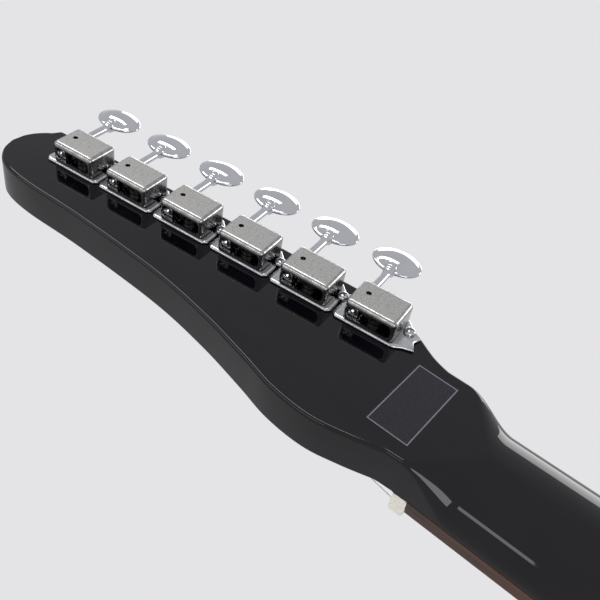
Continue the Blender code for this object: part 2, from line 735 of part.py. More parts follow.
def key():
    """Key of a machine about its own axis, X: end journal, worm, shaft, collar and button."""
    inner_end = EAR_PLACE + EAR_THICK / 2
    turn = Matrix.Rotation(-math.pi / 2, 4, "Z")
    rim = BUTTON_CENTRE - BUTTON_SHORT / 2
    profile = [(-inner_end, SHAFT_RADIUS), (rim - COLLAR_START, SHAFT_RADIUS),
               (rim + COLLAR_FULL, COLLAR_RADIUS), (rim + COLLAR_END, COLLAR_RADIUS)]
    shaft = moved(turned([(-y, r) for y, r in profile][::-1], 10), turn=turn)
    return join(worm_thread(), shaft, button())


def wheel_outline():
    """Outline of the worm wheel: each tooth a trapezium narrower than the thread's groove."""
    root = WORM_TO_POST - WORM_RADIUS - GAP
    tip = WORM_TO_POST - WORM_ROOT - GAP
    pitch = 2 * math.pi / WHEEL_TEETH
    points = []
    for tooth in range(WHEEL_TEETH):
        for radius, offset in ((root, -0.27), (tip, -0.09), (tip, 0.09), (root, 0.27)):
            angle = (tooth + offset) * pitch
            points.append(Vector((radius * math.cos(angle), radius * math.sin(angle))))
    return points


def post():
    """String post about Y: slotted top, waist for the string, and the worm wheel."""
    face = -HEAD_THICK
    wheel_low = WORM_HEIGHT - WHEEL_THICK / 2
    rod = turned([
        (face - POST_ABOVE_FACE, POST_RADIUS * 0.8), (face - POST_ABOVE_FACE + MM, POST_RADIUS),
        (face - POST_WAIST_TOP - POST_STEP, POST_RADIUS), (face - POST_WAIST_TOP, POST_WAIST),
        (face - POST_WAIST_LOW, POST_WAIST), (face - POST_WAIST_LOW + POST_STEP, POST_RADIUS),
        (wheel_low + MM, POST_RADIUS), (wheel_low + MM, POST_WAIST),
        (COVER_TOP - COVER_WALL - 2 * GAP, POST_WAIST * 0.8),
    ], 10)
    slot_low = face - POST_ABOVE_FACE
    half = POST_SLOT / 2
    slot = block((-half, slot_low - PAST, -PAST), (half, slot_low + POST_SLOT_DEPTH, PAST))
    wheel = slab(wheel_outline(), wheel_low, wheel_low + WHEEL_THICK)
    return join(cut(rod, slot), wheel)


def bushing():
    """Press-in bushing in the headstock's face, about Y."""
    inner = POST_RADIUS + GAP
    outer = inner + BUSHING_WALL
    face = -GAP - BUSHING_FLANGE_THICK
    return tube([
        (face, BUSHING_FLANGE * 0.86), (face + BUSHING_FLANGE_THICK * 0.4, BUSHING_FLANGE),
        (-GAP, BUSHING_FLANGE), (-GAP, outer), (BUSHING_DEPTH, outer),
    ], inner, 12)


def tuners():
    """Six tuning machines in a row, each of five pieces."""
    turn = row_turn()
    shapes = {"cover": tuner_cover(), "key": key(), "post": post(), "bushing": bushing()}
    middle, end = tuner_plate(False), tuner_plate(True)
    for number in range(1, TUNERS + 1):
        at = tuner_place(number)
        worm_axis = at + turn @ Vector((0, WORM_HEIGHT, WORM_TO_POST))
        put(f"tuner_{number}_plate", end if number == TUNERS else middle, CHROME, at, turn)
        put(f"tuner_{number}_cover", shapes["cover"], SATIN, at, turn)
        put(f"tuner_{number}_key", shapes["key"], CHROME, worm_axis, turn)
        put(f"tuner_{number}_post", shapes["post"], CHROME, at, turn)
        put(f"tuner_{number}_bushing", shapes["bushing"], CHROME, Vector((at.x, 0, at.z)), turn)


def string_at_nut(radius):
    """Height of a string's centre over the nut."""
    return slot_bottom() - GAP - radius


def string_at_saddle(radius):
    """Height of a string's centre over its saddle."""
    return -(SADDLE_TOP + GAP + radius)


def tangent(start, centre, radius):
    """The angle, and the point, where a line from start meets a circle on its treble side."""
    reach = centre - start
    lean = math.atan2(reach.y, reach.x) - math.asin(radius / reach.length)
    angle = lean - math.pi / 2
    return angle, centre + radius * Vector((math.cos(angle), math.sin(angle)))


def string_points(number):
    """Route of a string with the share of its radius at each point: ball end, saddle, nut, wraps."""
    radius = STRING_RADII[number - 1]
    x_bridge = string_x(number, BRIDGE_SPREAD)
    x_nut = string_x(number, NUT_SPREAD)
    lip = -(SCALE + BRIDGE_BACK)
    low = -LIP_STRING
    ball = BALL_RADIUS / radius
    route = [
        (Vector((x_bridge, low, lip - 2.5 * BALL_RADIUS)), ball),
        (Vector((x_bridge, low, lip - GAP - 0.2 * MM)), ball),
        (Vector((x_bridge, low, lip - GAP)), 1.0), (Vector((x_bridge, low, lip + BRIDGE_THICK + MM)), 1.0),
        (Vector((x_bridge, string_at_saddle(radius), -SCALE - 7 * MM)), 1.0),
        (Vector((x_bridge, string_at_saddle(radius), -SCALE)), 1.0),
    ]
    nut_height = string_at_nut(radius)
    leave = NUT_THICK + GAP + 0.6 * MM
    route.append((Vector((x_nut, nut_height, leave)), 1.0))
    centre = row_point(tuner_pitch_place(number), 0.0)
    ring = POST_WAIST + GAP + radius
    angle, touch = tangent(Vector((x_nut, leave)), centre, ring)
    height = -WRAP_HEIGHT
    if number <= 2:
        share = (TREE_PLACE - leave) / (touch.y - leave)
        x_tree = x_nut + (touch.x - x_nut) * share
        route.append((Vector((x_tree, -TREE_HEIGHT, TREE_PLACE)), 1.0))
    drop = 2 * radius + GAP
    for i in range(int(WRAP_TURNS * WRAP_POINTS) + 1):
        a = angle + 2 * math.pi * i / WRAP_POINTS
        at = centre + ring * Vector((math.cos(a), math.sin(a)))
        route.append((Vector((at.x, height + drop * i / WRAP_POINTS, at.y)), 1.0))
    return route


def strings():
    """Six strings, each along its whole real route."""
    for number, radius in enumerate(STRING_RADII, 1):
        name = f"string_{number}"
        curve = bpy.data.curves.new(name, "CURVE")
        curve.dimensions = "3D"
        curve.bevel_depth = radius
        curve.bevel_resolution = 1
        curve.use_fill_caps = True
        route = string_points(number)
        spline = curve.splines.new("POLY")
        spline.points.add(len(route) - 1)
        for point, (place, share) in zip(spline.points, route):
            point.co = (*place, 1.0)
            point.radius = share
        curve.materials.append(material(STEEL))
        bpy.context.scene.collection.objects.link(bpy.data.objects.new(name, curve))


def string_tree():
    """Retainer that holds the two treble strings down, on its screw."""
    xs = []
    for number in (1, 2):
        xs += [place.x for place, share in string_points(number) if abs(place.z - TREE_PLACE) < 0.01 * MM]
    middle = sum(xs) / 2
    top = -(TREE_HEIGHT + max(STRING_RADII[:2]) + GAP + TREE_THICK)
    wing = abs(xs[0] - xs[1]) / 2 + 2 * MM
    low = (middle - wing, top, TREE_PLACE - TREE_HALF)
    bar = rounded_block(low, (middle + wing, top + TREE_THICK, TREE_PLACE + TREE_HALF), MM, "Y")
    step = TREE_THICK / 3
    stem = turned([
        (top - 2 * step, TREE_HALF * 0.6), (top - step, TREE_HALF), (top + step, TREE_HALF),
        (top + step, TREE_STEM), (-GAP, TREE_STEM),
    ], 10)
    put("string_tree", join(bar, moved(stem, (middle, 0, TREE_PLACE))), CHROME)


def body_outline():
    """The body's outline, from the bass side of the neck round to the treble side."""
    return curve_points([Vector(p) * MM for p in BODY_BASS + BODY_TREBLE], 3)


def neck_pocket():
    """Cutter for the pocket that the neck's heel sits in."""
    half = half_width(-BOARD_LENGTH) + GAP
    low = -BOARD_LENGTH - GAP
    return block((-half, -2 * PAST, low), (half, HEEL_DEPTH + GAP, low + 2 * HEEL_LENGTH))


def neck_screw_places():
    """World (x, z) of the four screws through the neck plate."""
    x, z = PLATE_WIDTH / 2 - PLATE_SCREW_INSET, PLATE_LENGTH / 2 - PLATE_SCREW_INSET
    middle = plate_middle()
    return [Vector((sx * x, middle + sz * z)) for sx in (-1, 1) for sz in (-1, 1)]


def plate_middle():
    """Height of the neck plate's middle: over the part of the heel that the body covers."""
    return -BOARD_LENGTH + PLATE_LENGTH / 2


def pickup_outline(name, grow=0.0):
    """A pickup's round-ended outline, grown by a clearance."""
    z = -SCALE * PICKUP_PLACES[name]
    half, end = PICKUP_LENGTH / 2 + grow, PICKUP_WIDTH / 2 + grow
    points = []
    for side in (1, -1):
        for i in range(7):
            a = side * math.pi / 2 - math.pi * i / 6
            points.append(Vector((side * (half - end) + end * math.cos(a), z + end * math.sin(a))))
    return points


def body():
    """Solid body with its neck pocket, routes and screw holes."""
    shape = slab(body_outline(), BODY_FACE, BODY_BACK, BODY_ROUND, 2)
    tools = [neck_pocket()]
    for name in PICKUP_PLACES:
        tools.append(slab(pickup_outline(name, PICKUP_CLEARANCE), -PAST, PICKUP_DEPTH))
    cavity = [Vector(p) * MM for p in CAVITY_OUTLINE]
    tools.append(slab(cavity, -PAST, BODY_FACE + CAVITY_DEPTH))
    for at in neck_screw_places():
        tools.append(bore(at, HEEL_DEPTH - PAST, BODY_BACK + PAST, NECK_SCREW + GAP))
    for place, turn in strap_places():
        hole = turned([(-STRAP_SCREW_LENGTH - MM, STRAP_SCREW + GAP), (PAST, STRAP_SCREW + GAP)], 8)
        tools.append(moved(hole, place, turn))
    put("body", cut(shape, *tools), BLACK)


def strap_places():
    """Place and turn of each strap button; its own Y points out of the body."""
    middle = (BODY_FACE + BODY_BACK) / 2
    outline = body_outline()
    low = min(outline, key=lambda p: (round(p.y, 4), abs(p.x)))
    horn = max((p for p in outline if p.x < 0), key=lambda p: p.y)
    return [
        (Vector((low.x, middle, low.y)), Matrix.Rotation(-math.pi / 2, 4, "X")),
        (Vector((horn.x, middle, horn.y)), Matrix.Rotation(math.pi / 2, 4, "X")),
    ]


def strap_buttons():
    """A strap button with its screw at each end of the body."""
    profile = [
        (GAP - STRAP_SCREW_LENGTH, STRAP_SCREW), (GAP, STRAP_SCREW), (GAP, STRAP_RADIUS * 0.8),
        (STRAP_HEIGHT * 0.15, STRAP_RADIUS * 0.75), (STRAP_HEIGHT * 0.35, STRAP_RADIUS * 0.5),
        (STRAP_HEIGHT * 0.65, STRAP_RADIUS * 0.55), (STRAP_HEIGHT * 0.8, STRAP_RADIUS),
        (STRAP_HEIGHT, STRAP_RADIUS * 0.9),
    ]
    shape = turned(profile, 12)
    for name, (place, turn) in zip(("strap_button_end", "strap_button_horn"), strap_places()):
        put(name, shape, CHROME, place, turn)


def neck_plate():
    """Neck plate and its four screws."""
    half, middle = PLATE_WIDTH / 2, plate_middle()
    low = BODY_BACK + GAP
    top = low + NECK_PLATE_THICK
    start = (-half, low, middle - PLATE_LENGTH / 2)
    plate = rounded_block(start, (half, top, middle + PLATE_LENGTH / 2), PLATE_CORNER, "Y", 4)
    under = top - NECK_PLATE_THICK / 3
    shape = turned([
        (HEEL_DEPTH - NECK_SCREW_BITE, NECK_SCREW), (under, NECK_SCREW), (under, NECK_SCREW_HEAD),
        (top + SCREW_TOP / 2, NECK_SCREW_HEAD), (top + SCREW_TOP, NECK_SCREW_HEAD * 0.6),
    ], 10)
    screws = [moved(shape, (at.x, 0, at.y)) for at in neck_screw_places()]
    put("neck_plate", join(plate, *screws), CHROME)


def on_guard(place):
    """World place on the guard's underside from (x, z) in millimetres."""
    return Vector((place[0] * MM, GUARD_TOP, place[1] * MM))


def guard():
    """Pickguard with holes for the pickups and the controls."""
    shape = slab(outline_mm(GUARD_OUTLINE, 2), GUARD_TOP, GUARD_TOP + GUARD_THICK)
    tools = [slab(pickup_outline(name, GAP), GUARD_TOP - PAST, BODY_FACE + PAST) for name in PICKUP_PLACES]
    for place in (*POTS.values(), JACK_PLACE, SWITCH_PLACE):
        tools.append(bore(Vector(place) * MM, GUARD_TOP - PAST, BODY_FACE + PAST, CONTROL_HOLE + GAP, 12))
    put("pickguard", cut(shape, *tools), PLY)


def pickups():
    """Two metal-covered pickups, each in its route."""
    for name in PICKUP_PLACES:
        put(name, slab(pickup_outline(name), -PICKUP_TOP, PICKUP_DEPTH - GAP, 1.5 * MM, 2), CHROME)


def threaded_control(depth, inside, inside_depth, wide):
    """A control under the guard, about Y from the guard's top: its case, threaded neck and ring nut."""
    under = GUARD_THICK + GAP
    top = -GAP
    neck_part = turned([(top - 2 * NUT_RING_THICK, CONTROL_HOLE), (under + MM, CONTROL_HOLE)], 12)
    ring = turned([(top - NUT_RING_THICK, NUT_RING), (top, NUT_RING)], 6)
    case = turned([(under, wide), (under + depth, wide)], 16)
    hole = turned([(-2 * PAST, inside), (inside_depth, inside)], 12)
    return cut(join(neck_part, ring, case), hole)


def controls():
    """Volume and tone controls with their knobs, the toggle switch and the jack socket."""
    pot = threaded_control(POT_DEPTH, KNOB_SHAFT + GAP, GUARD_THICK + POT_DEPTH * 0.7, POT_RADIUS)
    top = -KNOB_LIFT - KNOB_HEIGHT
    skirt = -KNOB_LIFT - KNOB_SKIRT
    knob = turned([
        (top, KNOB_RADIUS * 0.55), (top + KNOB_SKIRT / 2, KNOB_RADIUS * 0.78),
        (skirt - MM, KNOB_RADIUS * 0.86), (skirt, KNOB_RADIUS), (-KNOB_LIFT, KNOB_RADIUS),
        (-KNOB_LIFT, KNOB_SHAFT), (POT_DEPTH * 0.6, KNOB_SHAFT),
    ], 16)
    for name, place in POTS.items():
        put(f"pot_{name}", pot, STEEL, on_guard(place))
        put(f"knob_{name}", knob, DARK, on_guard(place))
    switch = threaded_control(SWITCH_DEPTH, SWITCH_BORE, GUARD_THICK + SWITCH_INSIDE, POT_RADIUS * 0.7)
    put("toggle_switch", switch, STEEL, on_guard(SWITCH_PLACE))
    ball = SWITCH_BORE - 2 * GAP
    reach = LEVER_REACH + LEVER_DEPTH
    lever = turned([
        (-reach - LEVER_TIP, LEVER_TIP * 0.5), (-reach, LEVER_TIP), (-reach + 2 * LEVER_TIP, LEVER_RADIUS),
        (-LEVER_RADIUS, LEVER_RADIUS), (0, ball), (LEVER_RADIUS, LEVER_RADIUS),
    ], 10)
    put("toggle_lever", lever, BONE, on_guard(SWITCH_PLACE) + Vector((0, LEVER_DEPTH, 0)))
    barrel = threaded_control(JACK_DEPTH, JACK_BORE, JACK_DEPTH * 2, CONTROL_HOLE * 1.3)
    put("jack_socket", barrel, CHROME, on_guard(JACK_PLACE))


def bridge():
    """Bridge plate with its string lip, and three barrel saddles on their height screws."""
    half = BRIDGE_WIDTH / 2
    top = BODY_FACE - GAP - BRIDGE_THICK
    front, back = -SCALE + BRIDGE_FRONT, -SCALE - BRIDGE_BACK
    base = block((-half, top, back), (half, BODY_FACE - GAP, front))
    lip = block((-half, -(BRIDGE_LIP - BODY_FACE), back), (half, top + MM, back + BRIDGE_THICK))
    plate = join(base, lip)
    holes = []
    hole = turned([(-PAST, LIP_HOLE), (PAST, LIP_HOLE)], 8)
    for number in range(1, TUNERS + 1):
        place = (string_x(number, BRIDGE_SPREAD), -LIP_STRING, back)
        holes.append(moved(hole, place, Matrix.Rotation(math.pi / 2, 4, "X")))
    put("bridge_plate", cut(plate, *holes), CHROME)
    spacing = BRIDGE_SPREAD * 2 / (TUNERS - 1)
    middle = -(SADDLE_TOP - SADDLE_RADIUS)
    long = SADDLE_LENGTH / 2
    barrel = turned([(-long, SADDLE_RADIUS), (long, SADDLE_RADIUS)], 14)
    foot = turned([(0, SADDLE_FOOT), (top - GAP - middle, SADDLE_FOOT)], 8)
    feet = [moved(foot, (side * long * 0.7, 0, 0)) for side in (-1, 1)]
    saddle = join(moved(barrel, turn=Matrix.Rotation(math.pi / 2, 4, "Z")), *feet)
    for number in range(3):
        put(f"saddle_{number + 1}", saddle, BRASS, Vector(((1 - number) * spacing, middle, -SCALE)))


def main():
    clear_scene()
    neck()
    fingerboard()
    string_nut()
    truss_rod()
    tuners()
    strings()
    string_tree()
    body()
    strap_buttons()
    neck_plate()
    guard()
    pickups()
    controls()
    bridge()


main()
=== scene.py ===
"""Baritone electric guitar seen from behind its headstock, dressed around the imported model.

Frame: metres, +Z up along the neck towards the headstock's tip, strings facing -Y, treble side at +X.
The origin lies on the neck's centre line, at the fingerboard end of the string nut, in the plane
where the fingerboard is glued to the neck. The headstock's face lies in that same plane, y = 0.
"""

from __future__ import annotations

import bisect
import json
import logging
from collections.abc import Sequence
from dataclasses import dataclass
from enum import Enum
from math import asin, atan2, cos, pi, radians, sin, sqrt

import bmesh
import bpy
from mathutils import Matrix, Vector
from mathutils.bvhtree import BVHTree

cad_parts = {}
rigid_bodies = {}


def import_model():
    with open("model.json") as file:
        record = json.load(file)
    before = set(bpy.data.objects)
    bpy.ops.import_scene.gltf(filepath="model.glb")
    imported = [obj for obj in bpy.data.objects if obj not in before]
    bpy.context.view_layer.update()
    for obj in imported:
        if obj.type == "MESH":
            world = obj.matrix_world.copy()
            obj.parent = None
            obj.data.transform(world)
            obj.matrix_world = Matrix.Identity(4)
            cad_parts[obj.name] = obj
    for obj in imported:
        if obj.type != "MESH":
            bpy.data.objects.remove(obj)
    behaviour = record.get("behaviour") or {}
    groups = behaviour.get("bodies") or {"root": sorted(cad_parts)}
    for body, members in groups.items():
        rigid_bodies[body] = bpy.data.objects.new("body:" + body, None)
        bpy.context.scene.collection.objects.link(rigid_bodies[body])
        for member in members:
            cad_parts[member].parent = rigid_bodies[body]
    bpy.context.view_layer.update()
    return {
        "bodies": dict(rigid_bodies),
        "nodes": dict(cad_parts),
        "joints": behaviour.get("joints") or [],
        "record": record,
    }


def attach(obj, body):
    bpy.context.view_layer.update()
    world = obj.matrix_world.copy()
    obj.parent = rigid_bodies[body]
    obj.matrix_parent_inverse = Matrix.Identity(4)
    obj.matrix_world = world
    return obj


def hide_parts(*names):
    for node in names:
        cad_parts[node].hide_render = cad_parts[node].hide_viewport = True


MM = 0.001
INCH = 0.0254
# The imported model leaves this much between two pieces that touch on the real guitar.
GAP = 0.3 * MM
# Cutting tools reach this far past the face they cut.
PAST = 5.0 * MM
# Screw heads sink this much into the face they stand on, so that no two faces coincide.
SINK = 0.01 * MM
QUARTER = pi / 2
CORNERS = ((1, 1), (-1, 1), (-1, -1), (1, -1))
LOG = logging.getLogger("guitar")

Point = tuple[float, float, float]
Pair = tuple[float, float]
Pairs = Sequence[Pair]
Outline = Sequence[Vector]
Tree = bpy.types.NodeTree
Node = bpy.types.Node
Socket = bpy.types.NodeSocket


def linear(hex_colour: str) -> tuple[float, float, float, float]:
    """Turns an sRGB hex colour into Blender's linear RGBA.

    Args:
        hex_colour: six hex digits after a hash.

    Returns:
        The four linear channels, alpha last.
    """
    shares = [int(hex_colour[i:i + 2], 16) / 255 for i in (1, 3, 5)]
    flat = [s / 12.92 if s <= 0.04045 else ((s + 0.055) / 1.055) ** 2.4 for s in shares]
    return (flat[0], flat[1], flat[2], 1.0)


def add(tree: Tree, kind: str, settings: dict | None = None, links: dict | None = None) -> Node:
    """Adds one shader node.

    Args:
        tree: the node tree that gets it.
        kind: the node's type name, without the word ShaderNode.
        settings: properties and input values by name or input number.
        links: output sockets by the name or number of the input they feed.

    Returns:
        The new node.
    """
    made = tree.nodes.new(f"ShaderNode{kind}")
    for key, value in (settings or {}).items():
        if isinstance(key, int) or key in made.inputs:
            made.inputs[key].default_value = value
        else:
            setattr(made, key, value)
    for key, source in (links or {}).items():
        tree.links.new(source, made.inputs[key])
    return made


@dataclass(frozen=True)
class Surface:
    """A material being made: its nodes, its Principled shader and the object's own place in metres."""

    tree: Tree
    shader: Node
    place: Socket

    def feed(self, name: str, source: Socket) -> None:
        """Links a node's output to the shader's input of this name."""
        self.tree.links.new(source, self.shader.inputs[name])


@dataclass(frozen=True)
class Finish:
    """A real material, how its surface was made, and the record's slot it stands for."""

    name: str
    slot: str
    colour: str
    tint: str
    roughness: Pair
    metallic: float = 0.0
    grain_mm: float = 1.0
    stretch: Point = (1.0, 1.0, 1.0)
    relief_mm: float = 0.0
    coat: float = 0.0
    specular: float = 0.5
    coat_roughness: float = 0.03

    def build(self) -> bpy.types.Material:
        """Makes the material, once for all the pieces that share it.

        Returns:
            The material.
        """
        found = bpy.data.materials.get(self.name)
        if found:
            return found
        material = bpy.data.materials.new(self.name)
        material.use_nodes = True
        tree = material.node_tree
        shader = tree.nodes["Principled BSDF"]
        shader.inputs["Metallic"].default_value = self.metallic
        shader.inputs["Coat Weight"].default_value = self.coat
        shader.inputs["Coat Roughness"].default_value = self.coat_roughness
        shader.inputs["Specular IOR Level"].default_value = self.specular
        self.pattern(Surface(tree, shader, add(tree, "TexCoord").outputs["Object"]))
        return material

    def pattern(self, on: Surface) -> None:
        """Feeds the shader's colour, roughness and relief from one grain.

        Args:
            on: the surface that gets it.
        """
        settings = {"Scale": 1 / (self.grain_mm * MM), "Detail": 3.0}
        grain = add(on.tree, "TexNoise", settings, {"Vector": self.stretched(on)})
        self.apply(on, grain.outputs[0])

    def stretched(self, on: Surface) -> Socket:
        """The object's own place, drawn out as the finish is."""
        settings = {"operation": "MULTIPLY", 1: self.stretch}
        return add(on.tree, "VectorMath", settings, {0: on.place}).outputs[0]

    def apply(self, on: Surface, grain: Socket) -> None:
        """Turns one grain value into colour, roughness and relief on the shader.

        Args:
            on: the surface that gets them.
            grain: the grain, from 0 to 1.
        """
        low, high = self.roughness
        settings = {"From Min": 0.3, "From Max": 0.7, "To Min": low, "To Max": high}
        rough = add(on.tree, "MapRange", settings, {"Value": grain})
        share = add(on.tree, "MapRange", {"From Min": 0.35, "From Max": 0.65}, {"Value": grain})
        settings = {"data_type": "RGBA", 6: linear(self.colour), 7: linear(self.tint)}
        on.feed("Roughness", rough.outputs[0])
        on.feed("Base Color", add(on.tree, "Mix", settings, {0: share.outputs[0]}).outputs[2])
        if self.relief_mm:
            bump = add(on.tree, "Bump", {"Distance": self.relief_mm * MM}, {"Height": grain})
            on.feed("Normal", bump.outputs[0])


@dataclass(frozen=True)
class StampedCover(Finish):
    """Steel sheet pressed to shape and tumbled before plating: a fine grit with scattered dark pits."""

    pit_mm: float = 0.9

    def pattern(self, on: Surface) -> None:
        """Adds a grit of a few tenths of a millimetre and larger pits to the plating.

        Args:
            on: the surface that gets them.
        """
        settings = {"Scale": 1 / (self.grain_mm * MM), "Detail": 4.0, "Roughness": 0.7}
        grit = add(on.tree, "TexNoise", settings, {"Vector": on.place})
        pits = add(on.tree, "TexVoronoi", {"Scale": 1 / (self.pit_mm * MM)}, {"Vector": on.place})
        deep = add(on.tree, "MapRange", {"From Min": 0.05, "From Max": 0.3}, {"Value": pits.outputs[0]})
        both = add(on.tree, "Math", {"operation": "MULTIPLY"}, {0: grit.outputs[0], 1: deep.outputs[0]})
        self.apply(on, both.outputs[0])


@dataclass(frozen=True)
class OpenPoredWood(Finish):
    """Sawn and oiled wood: bands of colour with fine dark pores along the grain."""

    pore_mm: float = 0.5
    pore_share: float = 0.45
    pore_shift: float = 0.22

    def pattern(self, on: Surface) -> None:
        """Mixes wide bands with pores that run the length of the board.

        Args:
            on: the surface that gets them.
        """
        along = {"Vector": self.stretched(on)}
        bands = add(on.tree, "TexNoise", {"Scale": 1 / (self.grain_mm * MM), "Detail": 5.0}, along).outputs[0]
        pores = add(on.tree, "TexNoise", {"Scale": 1 / (self.pore_mm * MM), "Detail": 2.0}, along).outputs[0]
        both = add(on.tree, "Math", {"operation": "MULTIPLY_ADD", 1: self.pore_share}, {0: pores, 2: bands})
        lower = add(on.tree, "Math", {"operation": "SUBTRACT", 1: self.pore_shift}, {0: both.outputs[0]})
        self.apply(on, lower.outputs[0])


@dataclass(frozen=True)
class WoundWire(Finish):
    """Round wire wound tightly on a core: a ridge for each turn of the winding."""

    pitch_mm: float = 0.5
    wave_turn: float = 6.283

    def pattern(self, on: Surface) -> None:
        """Draws one ridge in a millimetre, about twice as coarse as real winding, which is too fine to show.

        Args:
            on: the surface that gets them.
        """
        settings = {"bands_direction": "Z", "Scale": 1 / (self.pitch_mm * MM) / self.wave_turn}
        turns = add(on.tree, "TexWave", settings, {"Vector": on.place})
        self.apply(on, turns.outputs[1])


@dataclass(frozen=True)
class BorderedFoil(Finish):
    """Printed foil label, left blank: a dark field inside one thin pale line."""

    centre: Pair = (0.0, 0.0)
    half: Pair = (15.0 * MM, 7.5 * MM)
    margin: float = 0.5 * MM
    line: float = 0.35 * MM
    ink: str = "#6A6B75"

    def pattern(self, on: Surface) -> None:
        """Draws the line from the distance to the label's edge.

        Args:
            on: the surface that gets it.
        """
        grit = add(on.tree, "TexNoise", {"Scale": 1 / (self.grain_mm * MM)}, {"Vector": on.place})
        self.apply(on, grit.outputs[0])
        axes = add(on.tree, "SeparateXYZ", {}, {0: on.place})
        reach = []
        for socket, centre, half in zip((axes.outputs[0], axes.outputs[2]), self.centre, self.half):
            moved = add(on.tree, "Math", {"operation": "SUBTRACT", 1: centre}, {0: socket})
            size = add(on.tree, "Math", {"operation": "ABSOLUTE"}, {0: moved.outputs[0]})
            left = add(on.tree, "Math", {"operation": "SUBTRACT", 0: half}, {1: size.outputs[0]})
            reach.append(left.outputs[0])
        edge = add(on.tree, "Math", {"operation": "MINIMUM"}, {0: reach[0], 1: reach[1]})
        settings = {"operation": "COMPARE", 1: self.margin, 2: self.line / 2}
        band = add(on.tree, "Math", settings, {0: edge.outputs[0]})
        links = {0: band.outputs[0], 6: on.shader.inputs["Base Color"].links[0].from_socket}
        ink = add(on.tree, "Mix", {"data_type": "RGBA", 7: linear(self.ink)}, links)
        on.feed("Base Color", ink.outputs[2])


# Polyester lacquer, sprayed and buffed: near black with a cold tint, and a mirror coat over it.
LACQUER = Finish("buffed_black_lacquer", "gloss_black", "#050508", "#09090E", (0.10, 0.22),
                 grain_mm=6.0, stretch=(1.0, 1.0, 0.4), coat=0.62, specular=0.0)
# Bright chrome over polished steel: clean reflections with faint smears.
CHROME = Finish("polished_chrome_plate", "chrome", "#B9BBBF", "#B4B6BB", (0.05, 0.075), 1.0,
                grain_mm=5.0, relief_mm=0.0004)
# Chrome over a stamped and lightly polished blank: softer reflections than the buttons have.
PLATE_CHROME = Finish("stamped_chrome_plate", "chrome", "#B4B5B8", "#A0A1A5", (0.12, 0.24), 1.0,
                      grain_mm=1.6, relief_mm=0.004)
# Nickel over tumbled sheet steel: warm grey, dull, with grit of a few tenths of a millimetre.
COVER_NICKEL = StampedCover("tumbled_nickel_plate", "satin_nickel", "#8A8988", "#B6B5B3", (0.52, 0.30), 1.0,
                            grain_mm=0.45, relief_mm=0.035)
# The same nickel, buffed on the cover's rolled edges and sides, where it picks up streaks of light.
COVER_SIDE = Finish("buffed_nickel_plate", "satin_nickel", "#A6A5A4", "#8C8B8A", (0.14, 0.30), 1.0,
                    grain_mm=1.3, stretch=(1.0, 0.35, 1.0), relief_mm=0.004)
# Turned and ground steel: plain grey with a little drawing along it.
STEEL = Finish("ground_steel", "steel", "#A9AAAC", "#8C8D90", (0.22, 0.36), 1.0,
               grain_mm=0.8, stretch=(1.0, 1.0, 0.2), relief_mm=0.003)
# Gear steel, half dull, and painted near black as painted shade for the inside of the cover, so the machine
# looks dark inside.
SHADE_DARKENED_STEEL = Finish("shade_darkened_gear_steel", "steel", "#2E2D2B", "#454341", (0.3, 0.5), 1.0, grain_mm=1.2)
# Drawn high-carbon wire with a tin wash: a thin bright line with soft ends to its glints.
PLAIN_WIRE = Finish("tinned_steel_wire", "steel", "#C4C5C8", "#B0B1B4", (0.16, 0.24), 1.0, grain_mm=0.6)
# Nickel-plated wire wound on steel: a warmer grey line, broken by fine ridges.
WOUND_WIRE = WoundWire("nickel_wound_wire", "steel", "#8E8D8A", "#C9C7C0", (0.36, 0.22), 1.0,
                       grain_mm=0.5, relief_mm=0.05)
# Turned brass, dulled by handling: yellow, with broad soft glints round each barrel.
BRASS = Finish("turned_brass", "brass", "#C2A05A", "#B3904A", (0.2, 0.3), 1.0,
               grain_mm=1.2, stretch=(1.0, 0.3, 1.0), relief_mm=0.002)
# Nickel silver fret wire, crowned and polished: a slightly yellow line of light on each fret.
FRET_WIRE = Finish("polished_nickel_silver", "rosewood", "#C9C5BA", "#B4B0A5", (0.12, 0.2), 1.0, grain_mm=1.5)
# Rosewood, planed and oiled: brown with dark pores of about half a millimetre.
ROSEWOOD = OpenPoredWood("oiled_rosewood", "rosewood", "#20120C", "#4C2B1B", (0.42, 0.6),
                         grain_mm=4.0, stretch=(1.0, 1.0, 0.05), relief_mm=0.03)
# Cast acrylic for the position dots: off-white with a pearly swirl.
PEARL = Finish("pearl_acrylic", "rosewood", "#D8D6CC", "#F0EEE6", (0.15, 0.3), grain_mm=1.4)
# Moulded and filed melamine: off-white and half dull, with faint file marks.
NUT_PLASTIC = Finish("filed_white_melamine", "bone", "#D2CDBE", "#E2DED2", (0.3, 0.42), relief_mm=0.002)
# Vinyl sheet with a gloss skin: an even cream with clear, slightly wavy reflections.
GUARD_SHEET = Finish("gloss_vinyl_sheet", "cream_plastic", "#DCD6C5", "#E0DAC9", (0.16, 0.22),
                     grain_mm=8.0, relief_mm=0.002)
# Moulded ABS: black and half dull, from the fine texture of its mould.
KNOB_ABS = Finish("moulded_black_abs", "dark_plastic", "#141414", "#1D1D1D", (0.3, 0.44),
                  grain_mm=0.8, relief_mm=0.01)
# Printed foil in the place of the real guitar's label, left blank: dark and satin inside a thin pale line.
LABEL_FOIL = BorderedFoil("blank_printed_foil", "gloss_black", "#121218", "#18181F", (0.26, 0.36),
                          grain_mm=0.6, specular=0.3, centre=(0.1 * MM, 15.2 * MM))
# Emulsion paint, rolled on: pale and matt, so that the floor is an even ground.
FLOOR_PAINT = Finish("pale_matt_paint", "", "#E6E6E8", "#E4E4E6", (0.8, 0.85), grain_mm=400.0)


def move(x: float, y: float, z: float) -> Matrix:
    """A move by these three distances."""
    return Matrix.Translation((x, y, z))


def quarter(axis: str, count: int = 1) -> Matrix:
    """A turn about this axis by one quarter, or by several."""
    return Matrix.Rotation(QUARTER * count, 4, axis)


